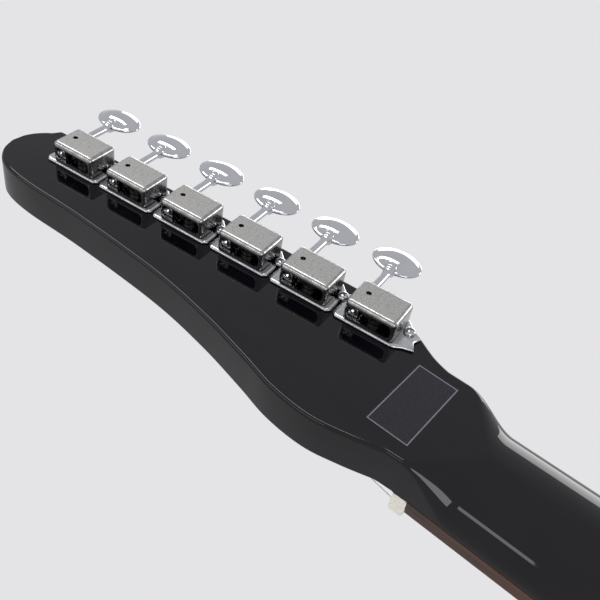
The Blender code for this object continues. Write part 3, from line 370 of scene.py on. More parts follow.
def linked(name: str, data: bpy.types.ID) -> bpy.types.Object:
    """Adds an object to the scene.

    Args:
        name: the object's name.
        data: its mesh, lamp or camera.

    Returns:
        The object.
    """
    obj = bpy.data.objects.new(name, data)
    bpy.context.scene.collection.objects.link(obj)
    return obj


def sweep(span: float, steps: int) -> list[float]:
    """Angles from 0 to the span, in equal steps."""
    return [span * i / steps for i in range(steps + 1)]


class Shape:
    """A mesh under construction, in metres."""

    def __init__(self, mesh: bmesh.types.BMesh | None = None) -> None:
        """Starts from a bmesh, or from nothing."""
        self.bm = mesh or bmesh.new()

    @classmethod
    def loft(cls, rings: Sequence[Sequence[Point]], closed: bool = False) -> Shape:
        """Skins rings of points, each with as many points as the next.

        Args:
            rings: the rings in order.
            closed: whether the last ring joins the first, in place of two caps.

        Returns:
            The new shape.
        """
        shape = cls()
        rows = [[shape.bm.verts.new(point) for point in ring] for ring in rings]
        count = len(rows[0])
        for low, high in zip(rows, rows[1:] + (rows[:1] if closed else [])):
            for i in range(count):
                j = (i + 1) % count
                shape.bm.faces.new((low[i], low[j], high[j], high[i]))
        if not closed:
            shape.bm.faces.new(rows[0][::-1])
            shape.bm.faces.new(rows[-1])
        return shape.tidied()

    @classmethod
    def turned(cls, profile: Pairs, segments: int = 48, hole: float = 0.0) -> Shape:
        """A solid of revolution about Y.

        Args:
            profile: (y, radius) pairs from one end to the other.
            segments: points round the circle.
            hole: radius of a hole along the axis, or 0 for none.

        Returns:
            The new shape.
        """
        walls = list(profile)
        if hole:
            walls += [(profile[-1][0], hole), (profile[0][0], hole)]
        angles = [2 * pi * i / segments for i in range(segments)]
        rings = [[(r * cos(a), y, r * sin(a)) for a in angles] for y, r in walls]
        return cls.loft(rings, bool(hole))

    @classmethod
    def rod(cls, low: float, high: float, radius: float, segments: int = 28) -> Shape:
        """A cylinder about Y between two heights, mostly used as a drill."""
        return cls.turned([(low, radius), (high, radius)], segments)

    @classmethod
    def stacked(cls, outline: Outline, levels: Pairs) -> Shape:
        """A plate of this XZ outline, moved inwards by each level's second value at its height."""
        return cls.loft([[(p.x, y, p.y) for p in (inset(outline, d) if d else outline)] for y, d in levels])

    @classmethod
    def slab(cls, outline: Outline, low: float, high: float, edge: float = 0.0, steps: int = 4) -> Shape:
        """A plate with this XZ outline between two heights.

        Args:
            outline: points in the XZ plane.
            low: y of one face.
            high: y of the other face.
            edge: radius of the rounded edges, or 0 for sharp ones.
            steps: facets in each rounded edge.

        Returns:
            The new shape.
        """
        levels = [(low, 0.0), (high, 0.0)]
        if edge:
            rounded = [(edge * (1 - cos(a)), edge * (1 - sin(a))) for a in sweep(QUARTER, steps)]
            levels = [(low + y, d) for y, d in rounded] + [(high - y, d) for y, d in reversed(rounded)]
        return cls.stacked(outline, levels)

    @classmethod
    def box(cls, low: Point, high: Point, radius: float = 0.0, along: str = "", steps: int = 5) -> Shape:
        """A box between two corners, with some or all of its edges rounded.

        Args:
            low: the lowest corner.
            high: the highest corner.
            radius: of the rounded edges, or 0 for sharp ones.
            along: the axis that the rounded edges run along, or empty for all edges.
            steps: facets in each rounded edge.

        Returns:
            The new shape.
        """
        shape = cls()
        size = Vector(high) - Vector(low)
        bmesh.ops.create_cube(shape.bm, size=1.0)
        bmesh.ops.scale(shape.bm, vec=size, verts=shape.bm.verts)
        bmesh.ops.translate(shape.bm, vec=Vector(low) + size / 2, verts=shape.bm.verts)
        if radius:
            edges = [e for e in shape.bm.edges if not along or shape.runs_along(e, along)]
            bmesh.ops.bevel(shape.bm, geom=edges, offset=radius, segments=steps, affect="EDGES", profile=0.5)
        return shape.tidied()

    @staticmethod
    def runs_along(edge: bmesh.types.BMEdge, axis: str) -> bool:
        """Whether the edge runs along this axis."""
        way = (edge.verts[0].co - edge.verts[1].co).normalized()
        return abs(way["XYZ".index(axis)]) > 0.99

    def tidied(self) -> Shape:
        """Turns the faces outwards and returns the shape."""
        bmesh.ops.recalc_face_normals(self.bm, faces=self.bm.faces)
        return self

    def moved(self, matrix: Matrix) -> Shape:
        """Copies the shape to another place.

        Args:
            matrix: turns and moves the copy.

        Returns:
            The copy.
        """
        copy = Shape(self.bm.copy())
        bmesh.ops.transform(copy.bm, matrix=matrix, verts=copy.bm.verts)
        return copy

    def at(self, x: float, y: float, z: float) -> Shape:
        """A copy of the shape, moved."""
        return self.moved(move(x, y, z))

    def beside(self, *others: Shape) -> Shape:
        """Adds other shapes to this one's mesh, without joining them.

        Args:
            others: the shapes to add.

        Returns:
            This same shape.
        """
        for other in others:
            mesh = other.raw()
            self.bm.from_mesh(mesh)
            bpy.data.meshes.remove(mesh)
        return self

    def combined(self, others: Sequence[Shape], operation: str) -> Shape:
        """Runs an exact Boolean with each of the others.

        Args:
            others: the shapes to cut with or to join.
            operation: DIFFERENCE or UNION.

        Returns:
            The new shape.
        """
        mesh = self.raw()
        for other in others:
            target, tool = linked("target", mesh), linked("tool", other.raw())
            modifier = target.modifiers.new("Boolean", "BOOLEAN")
            modifier.operation = operation
            modifier.solver = "EXACT"
            modifier.object = tool
            graph = bpy.context.evaluated_depsgraph_get()
            mesh = bpy.data.meshes.new_from_object(target.evaluated_get(graph))
            bpy.data.objects.remove(target)
            bpy.data.objects.remove(tool)
        result = Shape()
        result.bm.from_mesh(mesh)
        return result

    def cut(self, *tools: Shape) -> Shape:
        """The shape with the tools taken out of it."""
        return self.combined(tools, "DIFFERENCE")

    def joined(self, *others: Shape) -> Shape:
        """The shape and the others as one body."""
        return self.combined(others, "UNION")

    def raw(self) -> bpy.types.Mesh:
        """Makes a plain mesh, for a Boolean or for adding to another shape.

        Returns:
            The mesh, without smoothing or materials.
        """
        mesh = bpy.data.meshes.new("shape")
        self.bm.to_mesh(mesh)
        return mesh

    def mesh(self, smooth: float = 35.0) -> bpy.types.Mesh:
        """A finished mesh whose large flat faces mirror as flat ones.

        Args:
            smooth: the flattest edge in degrees that stays sharp.

        Returns:
            The mesh with its normals weighted by the size of the faces.
        """
        mesh = self.raw()
        mesh.shade_smooth()
        mesh.set_sharp_from_angle(angle=radians(smooth))
        holder = linked("holder", mesh)
        modifier = holder.modifiers.new("Flats", "WEIGHTED_NORMAL")
        modifier.keep_sharp = True
        graph = bpy.context.evaluated_depsgraph_get()
        result = bpy.data.meshes.new_from_object(holder.evaluated_get(graph))
        bpy.data.objects.remove(holder)
        bpy.data.meshes.remove(mesh)
        return result


def inset(outline: Outline, distance: float) -> list[Vector]:
    """Moves an outline inwards, whichever way round it runs.

    Args:
        outline: points in a plane.
        distance: how far to move them.

    Returns:
        The moved points.
    """
    count = len(outline)
    area = sum(outline[i].cross(outline[(i + 1) % count]) for i in range(count))
    side = 1 if area > 0 else -1
    moved = []
    for i, point in enumerate(outline):
        along = (outline[(i + 1) % count] - outline[i - 1]).normalized()
        moved.append(point + Vector((-along.y, along.x)) * distance * side)
    return moved


def curve_points(knots: Outline, steps: int, closed: bool = False) -> list[Vector]:
    """Points on a smooth curve through the knots.

    Args:
        knots: the points the curve passes through.
        steps: points made for each stretch between two knots.
        closed: whether the curve returns to its first knot.

    Returns:
        The points in order.
    """
    count = len(knots)
    points = []
    for i in range(count if closed else count - 1):
        near = range(i - 1, i + 3)
        a, b, c, d = (knots[j % count] if closed else knots[min(max(j, 0), count - 1)] for j in near)
        for step in range(steps):
            t = step / steps
            cubic = (3 * b - a - 3 * c + d) * t ** 3
            points.append(0.5 * (2 * b + (c - a) * t + (2 * a - 5 * b + 4 * c - d) * t * t + cubic))
    if not closed:
        points.append(knots[-1])
    return points


def in_metres(places: Pairs) -> list[Vector]:
    """Points of a plane that are listed in millimetres."""
    return [Vector(place) * MM for place in places]


def round_ended(half: float, end: float, steps: int) -> list[Vector]:
    """Outline of a bar with round ends, about the origin.

    Args:
        half: half the bar's length.
        end: radius of its ends.
        steps: facets in each end.

    Returns:
        The outline's points.
    """
    points = []
    for side in (1, -1):
        for a in (side * pi / 2 - pi * i / steps for i in range(steps + 1)):
            points.append(Vector((side * (half - end) + end * cos(a), end * sin(a))))
    return points


def smooth_step(share: float) -> float:
    """Eases a share that runs from 0 to 1, and holds it outside that range."""
    held = min(max(share, 0.0), 1.0)
    return held * held * (3 - 2 * held)


def interpolated(table: Pairs, z: float) -> float:
    """Reads a value from a table, between two rows or beyond its ends.

    Args:
        table: (z, value) pairs with z rising.
        z: where to read it.

    Returns:
        The value.
    """
    i = min(max(bisect.bisect_left([row[0] for row in table], z), 1), len(table) - 1)
    (z0, v0), (z1, v1) = table[i - 1], table[i]
    return v0 + (v1 - v0) * (z - z0) / (z1 - z0)


class Workshop:
    """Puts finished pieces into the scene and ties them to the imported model."""

    def __init__(self, frame: dict) -> None:
        self.frame = frame

    def place(self, name: str, piece: Shape | bpy.types.Mesh, finish: Finish, body: str = "guitar",
              stands_for: Sequence[str] = (), matrix: Matrix | None = None,
              smooth: float = 35.0) -> bpy.types.Object:
        """Adds one piece to the scene.

        Args:
            name: the piece's own name.
            piece: its shape, or a mesh that several pieces share.
            finish: what it is made of.
            body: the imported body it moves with.
            stands_for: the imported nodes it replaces.
            matrix: its place, or none where the mesh is in the frame already.
            smooth: the flattest edge in degrees that stays sharp.

        Returns:
            The new object.
        """
        mesh = piece.mesh(smooth) if isinstance(piece, Shape) else piece
        if not mesh.materials:
            mesh.materials.append(finish.build())
        obj = linked(name, mesh)
        obj.matrix_world = matrix or Matrix.Identity(4)
        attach(obj, body)
        if stands_for:
            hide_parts(*stands_for)
        LOG.info("%s rides on %s: %d faces", name, body, len(mesh.polygons))
        return obj

    def dress(self, node: str, finish: Finish) -> None:
        """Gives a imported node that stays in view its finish.

        Args:
            node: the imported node's name.
            finish: what it is made of.
        """
        obj = self.frame["nodes"][node]
        obj.data.materials.clear()
        obj.data.materials.append(finish.build())
        LOG.info("%s is dressed", node)


@dataclass
class TunerRow:
    """Where the tuning machines stand: a straight row at a small angle to the neck."""

    count: int = 6
    pitch: float = 25.4 * MM
    angle: float = radians(6.4)
    from_nut: float = 41.0 * MM
    offset: float = 24.5 * MM
    head_thick: float = 14.5 * MM

    def point(self, pitches: float, across: float) -> Vector:
        """World (x, z) of a place in the row.

        Args:
            pitches: steps towards the tip from the machine nearest the nut.
            across: distance across the row, positive towards the buttons.

        Returns:
            The place in the XZ plane.
        """
        a = pitches * self.pitch + self.from_nut
        b = across + self.offset
        sine, cosine = sin(self.angle), cos(self.angle)
        return Vector((a * sine - b * cosine, a * cosine + b * sine))

    def post(self, number: int) -> Vector:
        """World (x, z) of a machine's post; machine 1 is at the tip."""
        return self.point(self.count - number, 0.0)

    def matrix(self, number: int, height: float = 0.0) -> Matrix:
        """From a machine's own frame, X away from the buttons and Z to the tip, to the world."""
        at = self.post(number)
        return move(at.x, height, at.y) @ Matrix.Rotation(self.angle, 4, "Y")


def bore(at: Vector, low: float, high: float, radius: float, segments: int = 40) -> Shape:
    """A drill along Y at a world (x, z), between two heights."""
    return Shape.rod(low, high, radius, segments).at(at.x, 0.0, at.y)


def cross_slot(shape: Shape, arm: float, wing: float, floor: float, turn: float) -> Shape:
    """Cuts a cross slot into a screw head that stands on Y.

    Args:
        shape: the head.
        arm: half the slot's length.
        wing: half its width.
        floor: y of its bottom; the slot opens towards larger y.
        turn: the slot's angle in degrees.

    Returns:
        The slotted head.
    """
    around = Matrix.Rotation(radians(turn), 4, "Y")
    for size in ((arm, wing), (wing, arm)):
        tool = Shape.box((-size[0], floor, -size[1]), (size[0], floor + 2 * PAST, size[1]))
        shape = shape.cut(tool.moved(around))
    return shape


def pan_head(radius: float, height: float, turn: float) -> Shape:
    """A cross-slot screw head about Y, flat at y = 0 and domed towards larger y.

    Args:
        radius: the head's radius.
        height: the head's height.
        turn: the slot's angle in degrees.

    Returns:
        The head.
    """
    profile = [(0.0, radius * 0.96), (height * 0.1, radius)]
    profile += [(height * (0.25 + 0.75 * sin(a)), radius * (0.06 + 0.94 * cos(a)))
                for a in sweep(QUARTER, 8)]
    return cross_slot(Shape.turned(profile, 36), radius * 0.56, radius * 0.12, height * 0.5, turn)


@dataclass
class Neck:
    """Neck and headstock in one piece under black lacquer, with the blank label on its back."""

    row: TunerRow
    scale: float = 29.75 * INCH
    frets: int = 24
    nut_width: float = 40.0 * MM
    end_width: float = 56.5 * MM
    nut_thick: float = 5.0 * MM
    past_fret: float = 8.0 * MM
    depth_nut: float = 14.8 * MM
    depth_joint: float = 17.0 * MM
    flank: float = 1.12
    heel_depth: float = 19.4 * MM
    heel_length: float = 76.0 * MM
    heel_ramp: float = 40.0 * MM
    edge: float = 1.3 * MM
    blend_top: float = 6.5 * MM
    blend_low: float = -13.0 * MM
    corner_points: int = 14
    post_hole: float = 4.85 * MM
    truss_depth: float = 9.0 * MM
    truss_slot: float = 6.2 * MM
    pocket_width: float = 10.0 * MM
    pocket_length: float = 26.0 * MM
    treble_edge: Pairs = (
        (-1.07, 43.8), (-0.62, 46.1), (-0.14, 47.4), (0.42, 45.3), (0.96, 40.6), (1.73, 34.5),
        (2.72, 28.9), (4.24, 24.4), (5.30, 22.6), (5.85, 19.5), (6.12, 14.0), (6.21, 8.0),
    )
    bass_edge: Pairs = (
        (-1.14, 3.3), (-0.90, 0.8), (-0.61, -4.0), (-0.33, -8.8), (-0.02, -11.0),
        (5.55, -11.0), (5.90, -8.5), (6.10, -3.5), (6.19, 1.5),
    )
    blend_across: float = 0.98
    blend_down: float = 0.92
    heel_lead: float = 30.0 * MM
    shoulder: float = 5.3
    pocket_start: float = 2.0 * MM
    slot_length: float = 40.0 * MM
    foil: float = 0.06 * MM
    foil_steps: tuple[int, int] = (40, 20)
    above_back: float = 40.0 * MM

    @property
    def board_length(self) -> float:
        """Length of the fingerboard below the nut."""
        return self.scale * (1 - 2 ** (-self.frets / 12)) + self.past_fret

    def half_width(self, z: float) -> float:
        """Half the neck's width below the nut, where z is negative."""
        return (self.nut_width + (self.end_width - self.nut_width) * min(-z / self.board_length, 1.0)) / 2

    def edge_table(self, knots: Pairs, start: float) -> list[Pair]:
        """A headstock edge's (z, x) pairs, from this x at the nut along the row of posts to the tip."""
        points = curve_points([self.row.point(k, -across * MM) for k, across in knots], 14)
        return [(0.0, start)] + [(p.y, p.x) for p in points]

    def section(self, z: float, treble: Pairs, bass: Pairs) -> list[Point]:
        """One ring of the neck and headstock at this height.

        Args:
            z: the height.
            treble: the headstock's treble edge.
            bass: its bass edge.

        Returns:
            The ring's points in world metres.
        """
        right, left = self.half_width(z), -self.half_width(z)
        if z > 0:
            right, left = interpolated(treble, z), interpolated(bass, z)
        share = smooth_step((self.blend_top - z) / (self.blend_top - self.blend_low))
        heel_start = -self.board_length + self.heel_length
        depth = self.row.head_thick + (self.depth_nut - self.row.head_thick) * share
        depth += (self.depth_joint - self.depth_nut) * max(-z, 0.0) / (self.board_length - self.heel_length)
        heel = smooth_step((heel_start + self.heel_ramp - z) / self.heel_ramp)
        depth += (self.heel_depth - depth) * heel
        share *= 1 - heel
        middle, reach = (right + left) / 2, (right - left) / 2
        across = self.edge + (reach - self.edge) * self.blend_across * share
        down = self.edge + (self.blend_down * depth - self.edge) * share
        # The front corners are eased on the headstock, and all but sharp under the board and the nut.
        front = self.edge * 0.5 * (1.0 if z > self.nut_thick + GAP else 0.1)
        bend = 1.0 + (self.flank - 1.0) * share
        half = [(reach - front, 0.0), (reach - front * 0.3, front * 0.3), (reach, front)]
        for a in sweep(QUARTER, self.corner_points - 1):
            out, back = max(cos(a), 0.0) ** bend, sin(a) ** bend
            half.append((reach - across * (1 - out), depth - down * (1 - back)))
        return [(middle + x, y, z) for x, y in half] + [(middle - x, y, z) for x, y in reversed(half)]

    def stations(self, tip: float) -> list[float]:
        """Heights of the neck's rings, closer together where its shape changes.

        Args:
            tip: height of the headstock's tip.

        Returns:
            The heights, rising.
        """
        heel_start = -self.board_length + self.heel_length
        heel_end, shoulder = heel_start + self.heel_ramp, self.row.point(self.shoulder, 0.0).y
        heights = [-self.board_length, heel_start - self.heel_lead, heel_start]
        for low, high, count in ((heel_start, heel_end, 12), (heel_end, self.blend_low, 24),
                                 (self.blend_low, self.blend_top, 24), (self.blend_top, shoulder, 90)):
            heights += [low + (high - low) * i / count for i in range(1, count + 1)]
        return heights + [shoulder + (tip - shoulder) * sin(a) for a in sweep(QUARTER, 16)[1:]]

    def shape(self) -> Shape:
        """Shapes the whole neck.

        Returns:
            The neck with its post holes and truss rod pocket.
        """
        treble = self.edge_table(self.treble_edge, self.nut_width / 2)
        bass = self.edge_table(self.bass_edge, -self.nut_width / 2)
        tip = min(treble[-1][0], bass[-1][0])
        body = Shape.loft([self.section(z, treble, bass) for z in self.stations(tip)])
        tools = [bore(self.row.post(n), -PAST, self.row.head_thick + PAST, self.post_hole)
                 for n in range(1, self.row.count + 1)]
        low, half = self.nut_thick + self.pocket_start, self.pocket_width / 2
        slot = self.truss_slot / 2
        tools.append(Shape.box((-slot, -PAST, -self.slot_length), (slot, self.truss_depth, low + PAST)))
        corner = (half, self.truss_depth + MM, low + self.pocket_length)
        tools.append(Shape.box((-half, -PAST, low), corner, half * 0.8, "Y"))
        return body.cut(*tools)

    def label(self, surface: BVHTree) -> Shape:
        """A thin foil that follows the neck's back.

        Args:
            surface: the neck's own mesh.

        Returns:
            The label.
        """
        shape = Shape()
        (steps_x, steps_z), centre, half = self.foil_steps, LABEL_FOIL.centre, LABEL_FOIL.half
        rows = []
        for lift in (SINK, self.foil):
            sheet = []
            for j in range(steps_z + 1):
                z = centre[1] + half[1] * (2 * j / steps_z - 1)
                xs = [centre[0] + half[0] * (2 * i / steps_x - 1) for i in range(steps_x + 1)]
                starts = [Vector((x, self.above_back, z)) for x in xs]
                backs = [surface.ray_cast(start, Vector((0, -1, 0)))[0].y for start in starts]
                sheet.append([shape.bm.verts.new((x, y + lift, z)) for x, y in zip(xs, backs)])
            rows.append(sheet)
        for sheet in rows:
            for j in range(steps_z):
                for i in range(steps_x):
                    shape.bm.faces.new((sheet[j][i], sheet[j][i + 1], sheet[j + 1][i + 1], sheet[j + 1][i]))
        rims = [self.rim(sheet) for sheet in rows]
        for i in range(len(rims[0])):
            j = (i + 1) % len(rims[0])
            shape.bm.faces.new((rims[0][i], rims[0][j], rims[1][j], rims[1][i]))
        return shape.tidied()

    @staticmethod
    def rim(sheet: list[list[bmesh.types.BMVert]]) -> list[bmesh.types.BMVert]:
        """The points round the edge of a grid.

        Args:
            sheet: the grid's rows of points.

        Returns:
            The edge's points in order.
        """
        right = [row[-1] for row in sheet[1:]]
        left = [row[0] for row in sheet[1:-1]]
        return sheet[0] + right + sheet[-1][-2::-1] + left[::-1]

    def build(self, shop: Workshop) -> None:
        """Adds the neck and its label.

        Args:
            shop: takes the pieces.
        """
        neck = shop.place("neck_and_headstock", self.shape(), LACQUER, stands_for=("neck",), smooth=30)
        surface = BVHTree.FromObject(neck, bpy.context.evaluated_depsgraph_get())
        shop.place("blank_label", self.label(surface), LABEL_FOIL)


class PlateEnd(Enum):
    """What a machine's plate meets on the side towards the nut."""

    NEXT_PLATE = "next plate"
    TAB = "tab"


@dataclass
class TuningMachine:
    """One covered tuning machine: plate, cover, key with its worm, post with its wheel, and bushing."""

    row: TunerRow
    plate_thick: float = 1.0 * MM
    plate_near: float = 7.3 * MM
    plate_far: float = 8.0 * MM
    plate_gap: float = 0.5 * MM
    rim_fall: float = 0.75 * MM
    rim_reach: float = 1.25 * MM
    tip_side: float = 13.0 * MM
    chamfer: float = 1.6 * MM
    ear_width: float = 4.0 * MM
    ear_thick: float = 1.1 * MM
    ear_place: float = 5.0 * MM
    # Each ear's boss: heights over the ear's face and radii, in mm.
    boss: Pairs = ((-0.1, 1.95), (0.2, 1.95), (0.32, 1.8))
    cover_length: float = 18.6 * MM
    cover_width: float = 13.6 * MM
    cover_top: float = 9.5 * MM
    cover_wall: float = 0.6 * MM
    cover_round: float = 1.6 * MM
    cover_rim: float = 2.0 * MM
    cover_sill: float = 0.9 * MM
    window_side: float = 1.3 * MM
    window_round: float = 1.6 * MM
    oil_hole: float = 0.95 * MM
    oil_place: Pair = (-0.55 * MM, 4.8 * MM)
    worm_to_post: float = 6.4 * MM
    worm_height: float = 5.2 * MM
    worm_radius: float = 1.95 * MM
    worm_root: float = 1.2 * MM
    worm_turns: int = 3
    teeth: int = 15
    wheel_thick: float = 2.6 * MM
    shaft: float = 1.5 * MM
    button_long: float = 18.6 * MM
    button_short: float = 13.4 * MM
    button_thick: float = 6.4 * MM
    button_rim: float = 0.7 * MM
    button_swell: float = 2.3
    button_centre: float = 26.0 * MM
    dome_steps: int = 14
    collar: float = 2.5 * MM
    # The key's collar: distances from the button's rim in mm, and shares of the collar's radius.
    collar_steps: Pairs = (
        (-4.0, 1.0), (-1.5, 1.0), (-1.1, 0.96), (-0.7, 0.8), (-0.4, 0.92), (0.0, 0.9),
    )
    collar_fall: Pair = (2.4 * MM, 0.84)
    # The dimple in the key's end: distances past the ear and radii, in mm.
    dimple: Pairs = ((-0.5, 0.1), (0.2, 0.9))
    screw_head: float = 2.05 * MM
    screw_shank: float = 1.15 * MM
    notch: float = 1.2 * MM
    slot_wing: float = 0.24 * MM
    slot_floor: float = 0.85 * MM
    slot_turn: float = 33.0
    screw_across: float = 2.0 * MM
    screw_along: float = 13.7 * MM
    end_screw: float = 11.7 * MM
    tab_root: float = 2.8 * MM
    tab: Pairs = (
        (-7.4, 2.3), (-4.6, -0.9), (-2.2, -4.4), (1.0, -3.2), (4.3, -4.8), (5.4, -1.2), (7.0, 1.4),
    )
    post_radius: float = 3.15 * MM
    post_waist: float = 2.7 * MM
    post_above: float = 14.0 * MM
    post_slot: float = 1.6 * MM
    # The post's waist: heights over the headstock's face in mm, and shares of the post's radius.
    post_steps: Pairs = ((9.9, 1.0), (9.4, 0.93))
    waist_steps: Pair = (9.0, 2.4)
    foot_steps: Pairs = ((2.1, 0.93), (1.9, 1.0))
    post_eye: float = 0.9 * MM
    eye_depth: float = 2.5 * MM
    slot_depth: float = 5.0 * MM
    bushing_wall: float = 1.1 * MM
    bushing_depth: float = 8.0 * MM
    flange: float = 5.6 * MM
    flange_thick: float = 1.2 * MM
    # The flange's turned rim: shares of its thickness and of its radius.
    flange_steps: Pairs = ((1.0, 0.84), (0.93, 0.9), (0.6, 0.985), (0.45, 1.0))

    def outline(self, end: PlateEnd) -> list[Vector]:
        """The plate's outline in the machine's own frame.

        Args:
            end: what the plate meets towards the nut.

        Returns:
            The outline's points.
        """
        top, bottom = self.tip_side, self.tip_side + self.plate_gap - self.row.pitch
        near, far, chamfer = self.plate_near, -self.plate_far, self.chamfer
        points = [(near, top - chamfer), (near - chamfer, top)]
        points += [(far + 2 * chamfer, top), (far, top - 2 * chamfer)]
        if end is PlateEnd.TAB:
            root = self.tab_root - self.end_screw
            points += [(far, root), *((x * MM, z * MM - self.end_screw) for x, z in self.tab), (near, root)]
            return [Vector(point) for point in points]
        notch = self.notch + 2 * GAP
        points += [(far, bottom + 2 * chamfer), (far + 2 * chamfer, bottom)]
        for a in (pi * (1 - i / 12) for i in range(13)):
            z = self.screw_along - self.row.pitch + notch * sin(a)
            points.append((-self.screw_across + notch * cos(a), max(z, bottom)))
        points += [(near - chamfer, bottom), (near, bottom + chamfer)]
        return [Vector(point) for point in points]

    def ear(self, x: float) -> Shape:
        """An upright bearing ear with a round top, a boss and the shaft's hole.

        Args:
            x: where the ear stands along the key.

        Returns:
            The ear.
        """
        low, half = self.plate_thick + GAP / 2, self.ear_width / 2
        arch = [(self.worm_to_post - half, low), (self.worm_to_post + half, low)]
        arch += [(self.worm_to_post + half * cos(a), self.worm_height + half * sin(a))
                 for a in sweep(pi, 24)]
        thick = self.ear_thick / 2
        body = Shape.loft([[(x + d, y, z) for z, y in arch] for d in (-thick, thick)])
        hole = Shape.rod(-PAST, PAST, self.shaft + GAP * 0.5, 32)
        place = move(x, self.worm_height, self.worm_to_post)
        outwards = place @ quarter("Z", -1)
        boss = Shape.turned([(thick + y * MM, r * MM) for y, r in self.boss], 32).moved(outwards)
        return body.joined(boss).cut(hole.moved(outwards))

    def screw(self, along: float) -> Shape:
        """A cross-slot pan-head wood screw, seen above the plate.

        Args:
            along: where it stands in the machine's own frame, towards the tip.

        Returns:
            The screw.
        """
        low, wide, shank = self.plate_thick + GAP, self.screw_head, self.screw_shank
        profile = [(0.0, shank), (low, shank), (low, wide * 0.96), (low + 0.15 * MM, wide)]
        profile += [(low + 0.35 * MM + 1.25 * MM * sin(a), wide * (0.08 + 0.92 * cos(a)))
                    for a in sweep(QUARTER, 8)]
        head = Shape.turned(profile, 40)
        turn = self.slot_turn + along / MM
        head = cross_slot(head, shank, self.slot_wing, low + self.slot_floor, turn)
        return head.at(-self.screw_across, 0.0, along)

    def plate(self, end: PlateEnd) -> Shape:
        """Base plate, rolled over along its rim, with its two bearing ears.

        Args:
            end: what the plate meets towards the nut.

        Returns:
            The plate.
        """
        top = GAP + self.plate_thick
        levels = [(GAP, 0.0)]
        levels += [(top - self.rim_fall * (1 - sin(a)), self.rim_reach * (1 - cos(a)))
                   for a in sweep(QUARTER, 8)]
        base = Shape.stacked(self.outline(end), levels)
        hole = Shape.rod(-PAST, PAST, self.post_radius + GAP, 48)
        return base.cut(hole).joined(self.ear(self.ear_place), self.ear(-self.ear_place))

    def cover(self) -> Shape:
        """Box cover, a five-sided shell.

        Returns:
            The cover with rolled top edges, its window, the shaft's slot and the oil hole.
        """
        low = self.plate_thick + 2 * GAP
        half_x, half_z, wall = self.cover_width / 2, self.cover_length / 2, self.cover_wall
        inside = self.cover_top - wall
        outer = Shape.box((-half_x, low, -half_z), (half_x, self.cover_top, half_z))
        inner = Shape.box((wall - half_x, low - PAST, wall - half_z), (half_x - wall, inside, half_z - wall))
        for box, top, radius, steps in ((outer, self.cover_top, self.cover_round, 7),
                                        (inner, inside, self.cover_round - wall, 4)):
            edges = [e for e in box.bm.edges if max(v.co.y for v in e.verts) > top - MM]
            bmesh.ops.bevel(box.bm, geom=edges, offset=radius, segments=steps, affect="EDGES", profile=0.5)
        side = half_z - self.window_side
        corner = (half_x + PAST, self.cover_top - self.cover_rim, side)
        sill = (half_x - 2 * wall, low + self.cover_sill, -side)
        window = Shape.box(sill, corner, self.window_round, "X", 8)
        clear = self.shaft + 2 * GAP
        corner = (2 * wall - half_x, self.worm_height + clear, self.worm_to_post + clear)
        slot = Shape.box((-half_x - PAST, low - PAST, self.worm_to_post - clear), corner, clear * 0.7, "X", 6)
        oil = bore(Vector(self.oil_place), inside - PAST, self.cover_top + PAST, self.oil_hole, 28)
        return outer.cut(inner, window, slot, oil)

    def face_the_top(self, cover: bpy.types.Mesh) -> None:
        """Leaves the tumbled grain on the cover's flat top, and buffs the rest.

        Args:
            cover: the cover's finished mesh.
        """
        cover.materials.append(COVER_SIDE.build())
        cover.materials.append(COVER_NICKEL.build())
        for face in cover.polygons:
            if face.normal.y > 0.97 and face.center.y > self.cover_top - 0.1 * MM:
                face.material_index = 1

    def lead(self) -> float:
        """Distance between two turns of the worm, which is the wheel's tooth spacing."""
        return 2 * pi * (self.worm_to_post - (self.worm_radius + self.worm_root) / 2) / self.teeth

    def worm(self) -> Shape:
        """One thread about X, whose flanks follow the wheel's teeth.

        Returns:
            The worm.
        """
        lead, segments, steps = self.lead(), 36, 16
        length, rings = self.worm_turns * lead, []
        for row in range(self.worm_turns * steps + 1):
            x = -length / 2 + lead * row / steps
            ring = []
            for i in range(segments):
                angle = 2 * pi * i / segments
                phase = (x / lead - i / segments) % 1.0
                ridge = min(max(1.5 - abs(phase - 0.5) * 5, 0.0), 1.0)
                radius = self.worm_root + (self.worm_radius - self.worm_root) * ridge
                ring.append((x, radius * cos(angle), radius * sin(angle)))
            rings.append(ring)
        return Shape.loft(rings)

    def button(self) -> Shape:
        """Oval button about the key's axis: two domed faces that meet at a crisp rim.

        Returns:
            The button at its place on the key.
        """
        rim, dome, steps = self.button_rim, self.button_thick / 2 - self.button_rim, self.dome_steps
        flat = 1 - 2 * rim / self.button_short
        half = [(flat * i / steps, rim + dome * (1 - (i / steps) ** self.button_swell))
                for i in range(1, steps + 1)]
        half += [(flat + (1 - flat) * sin(a), rim * cos(a))
                 for a in (pi / 12 * i for i in range(1, 7))]
        turns = sweep(2 * pi, 72)[:-1]
        rings = []
        for share, y in half[:-1] + [(share, -y) for share, y in reversed(half)]:
            short, long = self.button_short / 2 * share, self.button_long / 2 * share
            rings.append([(short * cos(t), y, long * sin(t)) for t in turns])
        return Shape.loft(rings).at(-self.button_centre, 0.0, 0.0)

